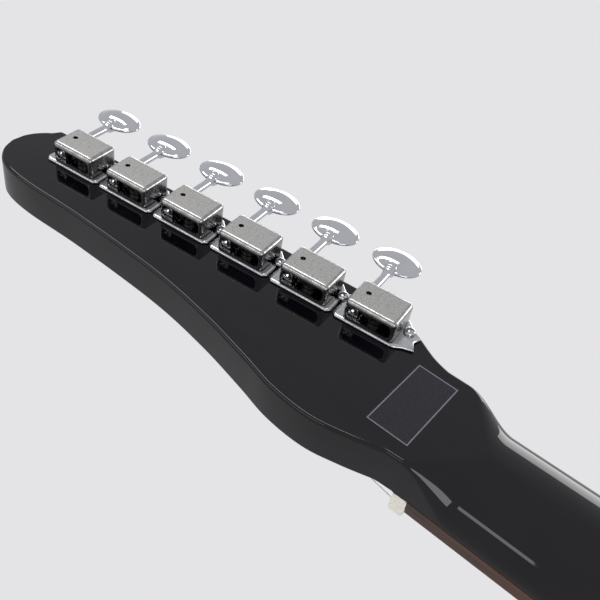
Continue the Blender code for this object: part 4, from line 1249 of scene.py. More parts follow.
    def key(self) -> Shape:
        """Key about its own axis, X.

        Returns:
            End journal, worm, shaft, collar and button in one piece.
        """
        end, rim = self.ear_place + self.ear_thick / 2, self.button_centre - self.button_short / 2
        profile = [(y * MM - rim, self.collar * share) for y, share in self.collar_steps]
        length, share = self.collar_fall
        rise = self.collar * share - self.shaft
        profile += [(-rim + length * i / 8, self.shaft + rise * (1 - i / 8) ** 2) for i in range(1, 9)]
        profile += [(-self.worm_turns * self.lead() / 2 - 0.2 * MM, self.shaft), (end, self.shaft)]
        turn = quarter("Z", -1)
        dimple = Shape.turned([(end + y * MM, r * MM) for y, r in self.dimple], 28)
        shaft = Shape.turned(profile, 40).cut(dimple).moved(turn)
        return shaft.joined(self.worm(), self.button())

    def wheel(self) -> Shape:
        """The worm wheel, each tooth narrower than the thread's groove.

        Returns:
            The wheel and its hub.
        """
        root = self.worm_to_post - self.worm_radius - GAP
        tip = self.worm_to_post - self.worm_root - GAP
        points = []
        for tooth in range(self.teeth):
            for radius, offset in ((root, -0.27), (tip, -0.09), (tip, 0.09), (root, 0.27)):
                angle = (tooth + offset) * 2 * pi / self.teeth
                points.append(Vector((radius * cos(angle), radius * sin(angle))))
        low = self.worm_height - self.wheel_thick / 2
        wide, waist = self.post_radius, self.post_waist
        hub = [(self.plate_thick + GAP, wide), (low + MM, wide), (low + MM, waist),
               (self.cover_top - self.cover_wall - 2 * GAP, waist * 0.8)]
        return Shape.slab(points, low, low + self.wheel_thick).joined(Shape.turned(hub, 40))

    def post(self) -> Shape:
        """String post about Y.

        Returns:
            The post with its slotted top and a waist for the string.
        """
        face, radius = -self.row.head_thick, self.post_radius
        top = face - self.post_above
        profile = [(top, radius * 0.8), (top + 0.25 * MM, radius * 0.93), (top + MM, radius)]
        profile += [(face - y * MM, radius * share) for y, share in self.post_steps]
        profile += [(face - y * MM, self.post_waist) for y in self.waist_steps]
        profile += [(face - y * MM, radius * share) for y, share in self.foot_steps]
        profile.append((self.plate_thick + GAP, radius))
        half = self.post_slot / 2
        slot = Shape.box((-half, top - PAST, -PAST), (half, top + self.slot_depth, PAST))
        eye = Shape.rod(top - PAST, top + self.slot_depth + self.eye_depth, self.post_eye, 24)
        return Shape.turned(profile, 44).cut(slot, eye)

    def bushing(self) -> Shape:
        """Press-in bushing about Y.

        Returns:
            The bushing with its turned flange on the headstock's face.
        """
        inner, thick = self.post_radius + GAP, self.flange_thick
        outer = inner + self.bushing_wall
        profile = [(-GAP - thick * depth, self.flange * share) for depth, share in self.flange_steps]
        profile += [(-GAP, self.flange), (-GAP, outer), (self.bushing_depth, outer)]
        return Shape.turned(profile, 52, inner)

    def build(self, shop: Workshop) -> None:
        """Adds all the machines, which share their meshes.

        Args:
            shop: takes the pieces.
        """
        key_at = move(0.0, self.worm_height, self.worm_to_post)
        shapes = {"cover": self.cover(), "key": self.key(), "post": self.post(), "wheel": self.wheel(),
                  "bushing": self.bushing(), "screw": self.screw(self.screw_along),
                  "middle": self.plate(PlateEnd.NEXT_PLATE), "end": self.plate(PlateEnd.TAB),
                  "end_screw": self.screw(-self.end_screw)}
        meshes = {name: shape.mesh(40) for name, shape in shapes.items()}
        self.face_the_top(meshes["cover"])
        for n in range(1, self.row.count + 1):
            at, face = self.row.matrix(n, self.row.head_thick), self.row.matrix(n)
            last = n == self.row.count
            name = f"tuner_{n}"
            plate = meshes["end" if last else "middle"]
            shop.place(f"{name}_base_plate", plate, PLATE_CHROME, stands_for=(f"{name}_plate",), matrix=at)
            shop.place(f"{name}_plate_screw", meshes["screw"], PLATE_CHROME, matrix=at)
            if last:
                shop.place(f"{name}_end_screw", meshes["end_screw"], PLATE_CHROME, matrix=at)
            cover, key = (f"{name}_cover",), (f"{name}_key",)
            shop.place(f"{name}_box_cover", meshes["cover"], COVER_SIDE, stands_for=cover, matrix=at)
            shop.place(f"{name}_key_and_button", meshes["key"], CHROME, f"key_{n}", key, at @ key_at)
            shop.place(f"{name}_string_post", meshes["post"], CHROME, f"post_{n}", (f"{name}_post",), at)
            # The wheel's near-black colour is painted shade for the inside of the cover, not the steel's own
            # colour.
            shop.place(f"{name}_worm_wheel", meshes["wheel"], SHADE_DARKENED_STEEL, f"post_{n}", matrix=at)
            bushing = f"{name}_bushing"
            shop.place(f"{name}_face_bushing", meshes["bushing"], CHROME, stands_for=(bushing,), matrix=face)


@dataclass
class Fingerboard:
    """Rosewood board with its frets, position dots and string nut."""

    neck: Neck
    thick: float = 5.8 * MM
    radius: float = 355.0 * MM
    fret_height: float = 1.0 * MM
    fret_half: float = 1.15 * MM
    fret_end: float = 0.35 * MM
    fret_tang: float = 0.2 * MM
    board_ease: float = 0.35 * MM
    board_steps: int = 60
    dot: float = 3.0 * MM
    dot_lift: float = 0.02 * MM
    side_dot: float = 1.0 * MM
    pair_spread: float = 11.0 * MM
    side_spread: float = 2.0 * MM
    dotted: tuple[int, ...] = (3, 5, 7, 9, 12, 15, 17, 19, 21, 24)
    nut_above: float = 2.2 * MM
    nut_round: float = 1.2 * MM
    nut_spread: float = 33.5 * MM

    def fret_place(self, number: int) -> float:
        """Height of a fret below the nut; fret 0 is the nut."""
        return -self.neck.scale * (1 - 2 ** (-number / 12))

    def camber(self, x: float) -> float:
        """How far the board's top drops at this distance from its middle."""
        return self.radius - sqrt(self.radius ** 2 - x * x)

    def board(self) -> Shape:
        """The board, cambered and tapered, with its sharp corners eased.

        Returns:
            The board.
        """
        ease, rings = self.board_ease, []
        for i in range(self.board_steps + 1):
            z = -self.neck.board_length * i / self.board_steps
            half = self.neck.half_width(z)
            xs = [(half - ease) * (2 * j / 24 - 1) for j in range(25)]
            top = [(x, self.camber(x) - self.thick, z) for x in xs]
            side = self.camber(half) - self.thick + ease
            rings.append([(-half, -GAP, z), (-half, side, z), *top, (half, side, z), (half, -GAP, z)])
        return Shape.loft(rings)

    def fret(self, number: int) -> Shape:
        """One crowned fret wire with bevelled ends.

        Args:
            number: the fret, counted from the nut.

        Returns:
            The wire at its place.
        """
        place, tang, rings = self.fret_place(number), self.fret_tang, []
        half = self.neck.half_width(place) - self.fret_end
        stations = [(-half, 0.25), (-half + 0.5 * MM, 0.9)]
        stations += [(half * (i / 6 - 1), 1.0) for i in range(2, 11)]
        stations += [(half - 0.5 * MM, 0.9), (half, 0.25)]
        for x, share in stations:
            base = self.camber(x) - self.thick + tang
            rings.append([(x, base - (tang + self.fret_height * share * sin(a)),
                           place + self.fret_half * cos(a)) for a in sweep(pi, 10)])
        return Shape.loft(rings)

    def dots(self) -> Shape:
        """Position dots on the board's top, and small ones along its bass side.

        Returns:
            All the dots as one piece.
        """
        disc, side_disc = (Shape.rod(-self.dot_lift, MM, radius, segments)
                           for radius, segments in ((self.dot, 40), (self.side_dot, 24)))
        sideways, all_dots = quarter("Z"), Shape()
        for number in self.dotted:
            z = (self.fret_place(number) + self.fret_place(number - 1)) / 2
            double = number % 12 == 0
            for x in (-self.pair_spread, self.pair_spread) if double else (0.0,):
                lean = Matrix.Rotation(-asin(x / self.radius), 4, "Z")
                place = move(x, self.camber(x) - self.thick, z)
                all_dots.beside(disc.moved(place @ lean))
            for along in (-self.side_spread, self.side_spread) if double else (0.0,):
                place = move(-self.neck.half_width(z), -self.thick / 2, z + along)
                all_dots.beside(side_disc.moved(place @ sideways))
        return all_dots

    def string_x(self, number: int, spread: float) -> float:
        """Place across the neck of string 1, on the treble side, to string 6."""
        return spread / 2 - (number - 1) * spread / (self.neck.row.count - 1)

    def slot_bottom(self) -> float:
        """Height of the nut slots' bottoms."""
        return -(self.thick + self.fret_height + 0.1 * MM)

    def nut(self, radii: Sequence[float]) -> Shape:
        """String nut with a round-bottomed slot filed for each string.

        Args:
            radii: the strings' radii, treble first.

        Returns:
            The nut.
        """
        half, top = self.neck.nut_width / 2, -(self.thick + self.nut_above)
        body = Shape.box((-half, top, GAP), (half, -GAP, GAP + self.neck.nut_thick), self.nut_round, "X", 8)
        slots, ends = [], (-PAST, self.neck.nut_thick + PAST)
        for number, radius in enumerate(radii, 1):
            wide, x = radius + GAP, self.string_x(number, self.nut_spread)
            low = self.slot_bottom() - wide
            arc = [(x + wide * cos(a), low + wide * sin(a)) for a in sweep(pi, 8)]
            ring = [(x + wide, top - PAST), *arc, (x - wide, top - PAST)]
            slots.append(Shape.loft([[(a, b, z) for a, b in ring] for z in ends]))
        return body.cut(*slots)

    def build(self, shop: Workshop, radii: Sequence[float]) -> None:
        """Adds the board, its frets, dots and nut.

        Args:
            shop: takes the pieces.
            radii: the strings' radii, treble first.
        """
        shop.place("fingerboard_wood", self.board(), ROSEWOOD, stands_for=("fingerboard",), smooth=25)
        frets = Shape().beside(*(self.fret(n) for n in range(1, self.neck.frets + 1)))
        shop.place("frets", frets, FRET_WIRE, smooth=50)
        shop.place("position_dots", self.dots(), PEARL)
        shop.place("nut_with_slots", self.nut(radii), NUT_PLASTIC, stands_for=("string_nut",))


@dataclass
class Strings:
    """Six strings from their ball ends over the saddles and the nut to the posts, and the string tree."""

    board: Fingerboard
    gauges: tuple[float, ...] = (0.013, 0.017, 0.026, 0.036, 0.046, 0.062)
    plain: int = 2
    bridge_spread: float = 52.0 * MM
    saddle_top: float = 9.9 * MM
    bridge_back: float = 36.0 * MM
    bridge_thick: float = 2.0 * MM
    lip_height: float = 6.0 * MM
    ball: float = 1.75 * MM
    waist: float = 2.7 * MM
    wrap_turns: float = 1.5
    wrap_height: float = 5.8 * MM
    tree_place: float = 72.0 * MM
    tree_height: float = 4.4 * MM
    tree_thick: float = 1.2 * MM
    tree_half: float = 2.2 * MM
    tree_stem: float = 1.5 * MM
    tree_slot: float = 0.22 * MM
    over_saddle: float = 7.0 * MM
    before_nut: float = 0.6 * MM
    # The ball end's barrel: places along it in mm, and shares of its radius.
    ball_steps: Pairs = (
        (-1.5, 0.88), (-1.35, 1.0), (-0.7, 1.0), (-0.4, 0.62),
        (0.4, 0.62), (0.7, 1.0), (1.35, 1.0), (1.5, 0.88),
    )
    round_points: int = 14

    @property
    def radii(self) -> list[float]:
        """The strings' radii, treble first."""
        return [gauge * INCH / 2 for gauge in self.gauges]

    def route(self, number: int) -> list[Vector]:
        """The string's centre line from its ball end to its last turn round the post.

        Args:
            number: the string, counted from the treble side.

        Returns:
            The points in order.
        """
        radius = self.radii[number - 1]
        x_bridge = self.board.string_x(number, self.bridge_spread)
        x_nut = self.board.string_x(number, self.board.nut_spread)
        scale, lip = self.board.neck.scale, -(self.board.neck.scale + self.bridge_back)
        over, low = -(self.saddle_top + GAP + radius), -self.lip_height
        points = [(x_bridge, low, lip - GAP), (x_bridge, low, lip + self.bridge_thick + MM),
                  (x_bridge, over, -scale - self.over_saddle), (x_bridge, over, -scale)]
        leave = self.board.neck.nut_thick + GAP + self.before_nut
        points.append((x_nut, self.board.slot_bottom() - GAP - radius, leave))
        centre, ring = self.board.neck.row.post(number), self.waist + GAP + radius
        reach = centre - Vector((x_nut, leave))
        angle = atan2(reach.y, reach.x) - asin(ring / reach.length) - pi / 2
        touch = centre + ring * Vector((cos(angle), sin(angle)))
        if number <= self.plain:
            share = (self.tree_place - leave) / (touch.y - leave)
            points.append((x_nut + (touch.x - x_nut) * share, -self.tree_height, self.tree_place))
        steps, drop = 40, 2 * radius + GAP
        for i in range(int(self.wrap_turns * steps) + 1):
            a = angle + 2 * pi * i / steps
            points.append((centre.x + ring * cos(a), drop * i / steps - self.wrap_height,
                           centre.y + ring * sin(a)))
        return [Vector(point) for point in points]

    def tube(self, points: Outline, radius: float) -> Shape:
        """A round wire along a route, without a twist.

        Args:
            points: the wire's centre line.
            radius: its radius.

        Returns:
            The wire.
        """
        rings, side = [], Vector((1, 0, 0))
        for i, point in enumerate(points):
            way = (points[min(i + 1, len(points) - 1)] - points[max(i - 1, 0)]).normalized()
            side = (side - way * side.dot(way)).normalized()
            up = way.cross(side)
            turns = sweep(2 * pi, self.round_points)[:-1]
            rings.append([point + radius * (side * cos(t) + up * sin(t)) for t in turns])
        return Shape.loft(rings)

    def ball_end(self, number: int) -> Shape:
        """The grooved barrel that the string is looped round.

        Args:
            number: the string, counted from the treble side.

        Returns:
            The barrel behind the bridge's lip.
        """
        wide = self.ball
        barrel = Shape.turned([(y * MM, r * wide) for y, r in self.ball_steps], 32, 0.5 * MM)
        lip = -(self.board.neck.scale + self.bridge_back)
        x = self.board.string_x(number, self.bridge_spread)
        place = move(x, -self.lip_height, lip - GAP - 0.3 * MM - wide)
        return barrel.moved(place @ quarter("Z"))

    def tree(self) -> Shape:
        """The bent bar that holds the two thin strings down.

        Returns:
            The bar with its screw.
        """
        xs = [p.x for n in (1, 2) for p in self.route(n) if abs(p.z - self.tree_place) < 0.01 * MM]
        middle, wing = sum(xs) / 2, abs(xs[0] - xs[1]) / 2 + 2 * MM
        top = -(self.tree_height + max(self.radii[:2]) + GAP + self.tree_thick)
        half, step = self.tree_half, self.tree_thick / 3
        bar = Shape.slab(round_ended(wing, half, 12), top, top + self.tree_thick, 0.35 * MM)
        profile = [(top - 2 * step, half * 0.3), (top - 1.9 * step, half * 0.6), (top - step, half),
                   (top + step, half), (top + step, self.tree_stem), (-GAP, self.tree_stem)]
        slot = Shape.box((-half, top - PAST, -self.tree_slot), (half, top - 1.1 * step, self.tree_slot))
        stem = Shape.turned(profile, 36).cut(slot)
        return bar.joined(stem).at(middle, 0.0, self.tree_place)

    def build(self, shop: Workshop) -> None:
        """Adds the strings, their ball ends and the tree.

        Args:
            shop: takes the pieces.
        """
        for number, radius in enumerate(self.radii, 1):
            finish = PLAIN_WIRE if number <= self.plain else WOUND_WIRE
            wire = self.tube(self.route(number), radius)
            shop.place(f"string_{number}_wire", wire, finish, stands_for=(f"string_{number}",), smooth=60)
            shop.place(f"string_{number}_ball_end", self.ball_end(number), BRASS)
        shop.place("string_tree_bar", self.tree(), CHROME, stands_for=("string_tree",))


@dataclass
class Body:
    """Solid body under black lacquer, with its routes, pickguard, neck plate and strap buttons."""

    neck: Neck
    face: float = 3.5 * MM
    thick: float = 40.0 * MM
    edge: float = 6.0 * MM
    bass: Pairs = (
        (-34, -512), (-52, -497), (-73, -461), (-98, -437), (-125, -448), (-141, -486), (-141, -535),
        (-121, -606), (-128, -654), (-153, -706), (-164, -762), (-141, -820), (-86, -848), (0, -857),
    )
    treble: Pairs = (
        (86, -848), (144, -806), (160, -748), (141, -686), (113, -630), (112, -582), (127, -530),
        (119, -484), (97, -470), (73, -487), (54, -510), (36, -519),
    )
    guard_thick: float = 2.4 * MM
    guard_bevel: float = 1.1 * MM
    guard_knots: Pairs = (
        (-30, -589), (-66, -600), (-86, -642), (-70, -690), (-48, -727), (0, -733), (46, -731),
        (56, -772), (84, -810), (120, -797), (138, -744), (120, -690), (98, -632), (94, -582),
        (100, -532), (84, -508), (62, -545), (44, -585),
    )
    cavity: Pairs = (
        (78, -606), (92, -606), (116, -690), (126, -746), (112, -790), (88, -797), (68, -772), (66, -700),
    )
    cavity_depth: float = 32.0 * MM
    pickup_half: float = 38.0 * MM
    pickup_end: float = 12.0 * MM
    pickup_depth: float = 20.0 * MM
    pickup_top: float = 6.0 * MM
    pickup_round: float = 1.5 * MM
    pickup_clear: float = 2.0 * MM
    pickup_shares: tuple[float, ...] = (0.823, 0.938)
    control_hole: float = 4.75 * MM
    controls: Pairs = ((88, -706), (104, -748), (94, -782), (84, -632))
    screw_every: int = 12
    screw_inset: float = 5.5 * MM
    # Screw heads: radius and height.
    guard_screw: Pair = (2.2 * MM, 0.9 * MM)
    plate_screw: Pair = (4.1 * MM, 1.45 * MM)
    plate_width: float = 51.0 * MM
    plate_length: float = 50.0 * MM
    plate_thick: float = 1.6 * MM
    plate_inset: float = 8.0 * MM
    plate_corner: float = 5.0 * MM
    plate_edge: float = 0.45 * MM
    strap_radius: float = 8.0 * MM
    strap_height: float = 12.0 * MM
    # The strap button's head: shares of its height and radius.
    strap_head: Pairs = ((0.8, 0.98), (0.84, 1.0), (0.95, 0.98), (1.0, 0.9))
    # Its cross slot: half the length, half the width and the depth.
    strap_slot: Point = (2.4 * MM, 0.5 * MM, 1.5 * MM)
    strap_places: Pairs = ((0.0, -857.0), (-98.0, -437.0))

    @property
    def back(self) -> float:
        """Height of the body's back."""
        return self.face + self.thick

    @property
    def guard_top(self) -> float:
        """Height of the pickguard's top."""
        return self.face - GAP - self.guard_thick

    def pickup_outline(self, share: float, grow: float) -> list[Vector]:
        """The round-ended outline of the pickup at this share of the scale, moved outwards."""
        middle = Vector((0.0, -self.neck.scale * share))
        return [middle + point for point in round_ended(self.pickup_half + grow, self.pickup_end + grow, 24)]

    def guard_outline(self) -> list[Vector]:
        """The pickguard's outline."""
        return curve_points(in_metres(self.guard_knots), 8, closed=True)

    def wood(self) -> Shape:
        """The body with its neck pocket and routes.

        Returns:
            The body.
        """
        knots = in_metres(self.bass + self.treble)
        low, high = min(p.x for p in knots), max(p.x for p in knots)
        outline = [Vector((min(max(p.x, low), high), p.y)) for p in curve_points(knots, 14)]
        shape = Shape.slab(outline, self.face, self.back, self.edge, 9)
        half, low = self.neck.half_width(-self.neck.board_length) + GAP, -self.neck.board_length - GAP
        top = (half, self.neck.heel_depth + GAP, low + 2 * self.neck.heel_length)
        tools = [Shape.box((-half, -2 * PAST, low), top)]
        for share in self.pickup_shares:
            route = self.pickup_outline(share, self.pickup_clear)
            tools.append(Shape.slab(route, -PAST, self.pickup_depth))
        cavity = curve_points(in_metres(self.cavity), 1, closed=True)
        tools.append(Shape.slab(cavity, -PAST, self.face + self.cavity_depth))
        return shape.cut(*tools)

    def guard(self) -> Shape:
        """The pickguard with a bevelled edge and its holes.

        Returns:
            The pickguard.
        """
        bevel, top = self.guard_bevel, self.guard_top
        levels = [(top, bevel), (top + bevel, 0.0), (top + self.guard_thick, 0.0)]
        shape = Shape.stacked(self.guard_outline(), levels)
        tools = [Shape.slab(self.pickup_outline(share, GAP), top - PAST, self.face + PAST)
                 for share in self.pickup_shares]
        tools += [bore(place, top - PAST, self.face + PAST, self.control_hole + GAP)
                  for place in in_metres(self.controls)]
        return shape.cut(*tools)

    def guard_screws(self) -> Shape:
        """Small domed screws round the guard's rim.

        Returns:
            All the screws as one piece.
        """
        rim = inset(self.guard_outline(), self.screw_inset)
        screws, flip = Shape(), quarter("X", 2)
        for i in range(4, len(rim), self.screw_every):
            place = move(rim[i].x, self.guard_top - SINK, rim[i].y)
            screws.beside(pan_head(*self.guard_screw, 37.0 * i).moved(place @ flip))
        return screws

    def plate(self) -> Shape:
        """The neck plate with a softened rim.

        Returns:
            The plate.
        """
        low, half, corner = self.back + GAP, self.plate_width / 2, self.plate_corner
        outline = []
        for i, (sx, sz) in enumerate(CORNERS):
            for a in (QUARTER * (i + j / 8) for j in range(9)):
                x = sx * (half - corner) + corner * cos(a)
                z = self.plate_middle + sz * (self.plate_length / 2 - corner) + corner * sin(a)
                outline.append(Vector((x, z)))
        return Shape.slab(outline, low, low + self.plate_thick, self.plate_edge)

    @property
    def plate_middle(self) -> float:
        """Height of the neck plate's middle."""
        return -self.neck.board_length + self.plate_length / 2

    def plate_screws(self) -> Shape:
        """Four domed cross-slot screws on the neck plate.

        Returns:
            The screws as one piece.
        """
        x, z = self.plate_width / 2 - self.plate_inset, self.plate_length / 2 - self.plate_inset
        top = self.back + GAP + self.plate_thick
        heads = Shape()
        for i, (sx, sz) in enumerate(CORNERS):
            head = pan_head(*self.plate_screw, 25.0 + 41.0 * i)
            heads.beside(head.at(sx * x, top + SINK, self.plate_middle + sz * z))
        return heads

    def strap_button(self) -> Shape:
        """A turned strap button about Y, with its screw's cross slot.

        Returns:
            The button.
        """
        tall, wide = self.strap_height, self.strap_radius
        profile = [(GAP, wide * 0.78), (GAP + 0.4 * MM, wide * 0.8), (tall * 0.12, wide * 0.78)]
        for t in (i / 12 for i in range(13)):
            neck = 0.5 + 0.28 * (1 - t) ** 3 + 0.42 * t ** 4
            profile.append((tall * (0.15 + 0.6 * t), wide * min(neck, 0.9)))
        profile += [(tall * y, wide * share) for y, share in self.strap_head]
        arm, wing, deep = self.strap_slot
        return cross_slot(Shape.turned(profile, 56), arm, wing, tall - deep, 28.0)

    def build(self, shop: Workshop) -> None:
        """Adds the body and everything fixed straight to it.

        Args:
            shop: takes the pieces.
        """
        shop.place("body_wood", self.wood(), LACQUER, stands_for=("body",), smooth=30)
        shop.place("pickguard_sheet", self.guard(), GUARD_SHEET, stands_for=("pickguard",))
        shop.place("pickguard_screws", self.guard_screws(), CHROME)
        for name, share in zip(("pickup_neck", "pickup_bridge"), self.pickup_shares):
            outline = self.pickup_outline(share, 0.0)
            cover = Shape.slab(outline, -self.pickup_top, self.pickup_depth - GAP, self.pickup_round, 6)
            shop.place(f"{name}_cover", cover, CHROME, stands_for=(name,))
        shop.place("neck_plate_sheet", self.plate(), CHROME, stands_for=("neck_plate",))
        shop.place("neck_plate_screws", self.plate_screws(), CHROME)
        button, middle = self.strap_button().mesh(40), (self.face + self.back) / 2
        for name, (x, z), turn in zip(("strap_button_end", "strap_button_horn"), self.strap_places, (-1, 1)):
            place = move(x * MM, middle, z * MM) @ quarter("X", turn)
            shop.place(f"{name}_turning", button, CHROME, stands_for=(name,), matrix=place)


@dataclass
class Controls:
    """Knobs, pots, toggle switch and jack socket on the pickguard."""

    body: Body
    pot_radius: float = 12.0 * MM
    pot_depth: float = 9.5 * MM
    ring: float = 6.4 * MM
    ring_thick: float = 1.6 * MM
    thread_pitch: float = 0.75 * MM
    # The case's pressed edges: heights from its nearer end in mm, and shares of its radius.
    case_front: Pairs = ((0.0, 0.97), (0.3, 1.0))
    case_back: Pairs = ((-0.8, 1.0), (-0.2, 0.975), (0.0, 0.93))
    knob: float = 10.0 * MM
    knob_height: float = 14.0 * MM
    knob_lift: float = 3.8 * MM
    skirt: float = 3.0 * MM
    flutes: int = 24
    flute_depth: float = 0.035
    # The knob's levels: heights in mm, shares of its radius and shares of the flutes' depth.
    grip_top: tuple[Point, ...] = (
        (0.0, 0.4, 0.0), (0.3, 0.55, 0.0), (0.8, 0.68, 0.0), (1.5, 0.77, 0.5), (2.5, 0.785, 1.0),
    )
    grip_foot: tuple[Point, ...] = (
        (-2.5, 0.82, 1.0), (-1.2, 0.84, 0.4), (-0.7, 0.86, 0.0), (-0.2, 0.93, 0.0), (0.4, 0.985, 0.0),
        (1.0, 1.0, 0.0),
    )
    skirt_foot: tuple[Point, ...] = ((-0.3, 1.0, 0.0), (0.0, 0.98, 0.0))
    pointer_half: float = 0.35 * MM
    pointer_length: float = 8.0 * MM
    pointer_start: float = 0.9 * MM
    pointer_shares: Pair = (0.8, 0.862)
    spindle: float = 3.0 * MM
    switch_bore: float = 3.6 * MM
    switch_depth: float = 18.0 * MM
    switch_seat: float = 8.0 * MM
    lever: float = 1.5 * MM
    lever_depth: float = 3.5 * MM
    lever_reach: float = 17.0 * MM
    lever_tip: float = 3.3 * MM
    jack_bore: float = 3.3 * MM
    jack_depth: float = 24.0 * MM

    def threaded(self, depth: float, inside: float, inside_depth: float, wide: float) -> Shape:
        """A control under the guard: case, threaded neck and hexagonal ring nut.

        Args:
            depth: how deep the case is.
            inside: radius of the hole from the front.
            inside_depth: y of the hole's floor.
            wide: the case's radius.

        Returns:
            The control, about Y from the guard's top.
        """
        under, top, pitch = self.body.guard_thick + GAP, -GAP, self.thread_pitch
        thick, ring, hole = self.ring_thick, self.ring, self.body.control_hole
        neck = [(top - 2 * thick, hole * 0.9)]
        for i in range(3):
            y = top - 2 * thick + pitch * (0.3 + i)
            neck += [(y, hole), (y + pitch * 0.5, hole * 0.93)]
        neck += [(top - thick * 0.5, hole), (under + MM, hole)]
        case = [(under + y * MM, wide * share) for y, share in self.case_front]
        case += [(under + depth + y * MM, wide * share) for y, share in self.case_back]
        dome = Shape.turned([(top - thick - PAST, ring * 0.6), (top - thick, ring * 0.9),
                             (top - thick * 0.7, ring), (top + PAST, ring)], 60)
        nut = Shape.rod(top - thick, top, ring, 6).combined([dome], "INTERSECT")
        drill = Shape.rod(-2 * PAST, inside_depth, inside, 32)
        return Shape.turned(neck, 48).joined(nut, Shape.turned(case, 56)).cut(drill)

    def knob_shape(self) -> Shape:
        """A bell-shaped knob with a fluted grip, on its spindle.

        Returns:
            The knob.
        """
        low = -self.knob_lift
        levels = []
        for start, steps in ((low - self.knob_height, self.grip_top), (low - self.skirt, self.grip_foot),
                             (low, self.skirt_foot)):
            levels += [(start + y * MM, share, depth) for y, share, depth in steps]
        rings = []
        for y, share, depth in levels:
            ring = []
            for a in sweep(2 * pi, 8 * self.flutes)[:-1]:
                flute = self.flute_depth * depth * (0.5 + 0.5 * cos(self.flutes * a)) ** 3
                radius = self.knob * (share - flute)
                ring.append((radius * cos(a), y, radius * sin(a)))
            rings.append(ring)
        spindle = Shape.rod(low - MM, self.pot_depth * 0.6, self.spindle, 32)
        return Shape.loft(rings).joined(spindle)

    def pointer(self) -> Shape:
        """The white line let into the knob's skirt and side.

        Returns:
            The line.
        """
        low, half, (inner, outer) = -self.knob_lift - self.skirt, self.pointer_half, self.pointer_shares
        return Shape.box((-half, low - self.pointer_length, self.knob * inner),
                         (half, low - self.pointer_start, self.knob * outer))

    def lever_shape(self) -> Shape:
        """The toggle's ball, rod and moulded tip.

        Returns:
            The lever about Y, with its ball at the origin.
        """
        reach, tip, rod = self.lever_reach + self.lever_depth, self.lever_tip, self.lever
        ball = self.switch_bore - 2 * GAP
        profile = [(-reach - tip * cos(a), tip * max(sin(a), 0.08))
                   for a in sweep(pi * 0.62, 14)]
        profile += [(-reach + tip * 0.9, tip * 0.72), (-reach + tip * 1.5, tip * 0.52)]
        profile.append((-reach + 2 * tip, rod))
        profile += [(-rod * cos(a), max(ball * sin(a) ** 0.8, rod))
                    for a in (pi * (0.1 + 0.8 * i / 12) for i in range(13))]
        return Shape.turned(profile, 40)

    def build(self, shop: Workshop) -> None:
        """Adds the controls; the knobs and the lever turn with their own bodies.

        Args:
            shop: takes the pieces.
        """
        body = self.body
        spots = [move(x * MM, body.guard_top, z * MM) for x, z in body.controls]
        inside = body.guard_thick + self.pot_depth * 0.7
        pot = self.threaded(self.pot_depth, self.spindle + GAP, inside, self.pot_radius).mesh()
        knob, pointer = self.knob_shape().mesh(30), self.pointer().mesh()
        for name, place in zip(("volume", "tone"), spots):
            shop.place(f"pot_{name}_case", pot, STEEL, stands_for=(f"pot_{name}",), matrix=place)
            shop.place(f"knob_{name}_moulding", knob, KNOB_ABS, f"{name}_knob", (f"knob_{name}",), place)
            shop.place(f"knob_{name}_pointer", pointer, PEARL, f"{name}_knob", matrix=place)
        barrel = self.threaded(self.jack_depth, self.jack_bore, self.jack_depth * 2, body.control_hole * 1.3)
        shop.place("jack_socket_barrel", barrel, CHROME, stands_for=("jack_socket",), matrix=spots[2])
        depth = body.guard_thick + self.switch_seat
        switch = self.threaded(self.switch_depth, self.switch_bore, depth, self.pot_radius * 0.7)
        shop.place("toggle_switch_case", switch, STEEL, stands_for=("toggle_switch",), matrix=spots[3])
        pivot = spots[3] @ move(0, self.lever_depth, 0)
        shop.place("toggle_lever_and_tip", self.lever_shape(), NUT_PLASTIC, "lever", ("toggle_lever",), pivot)


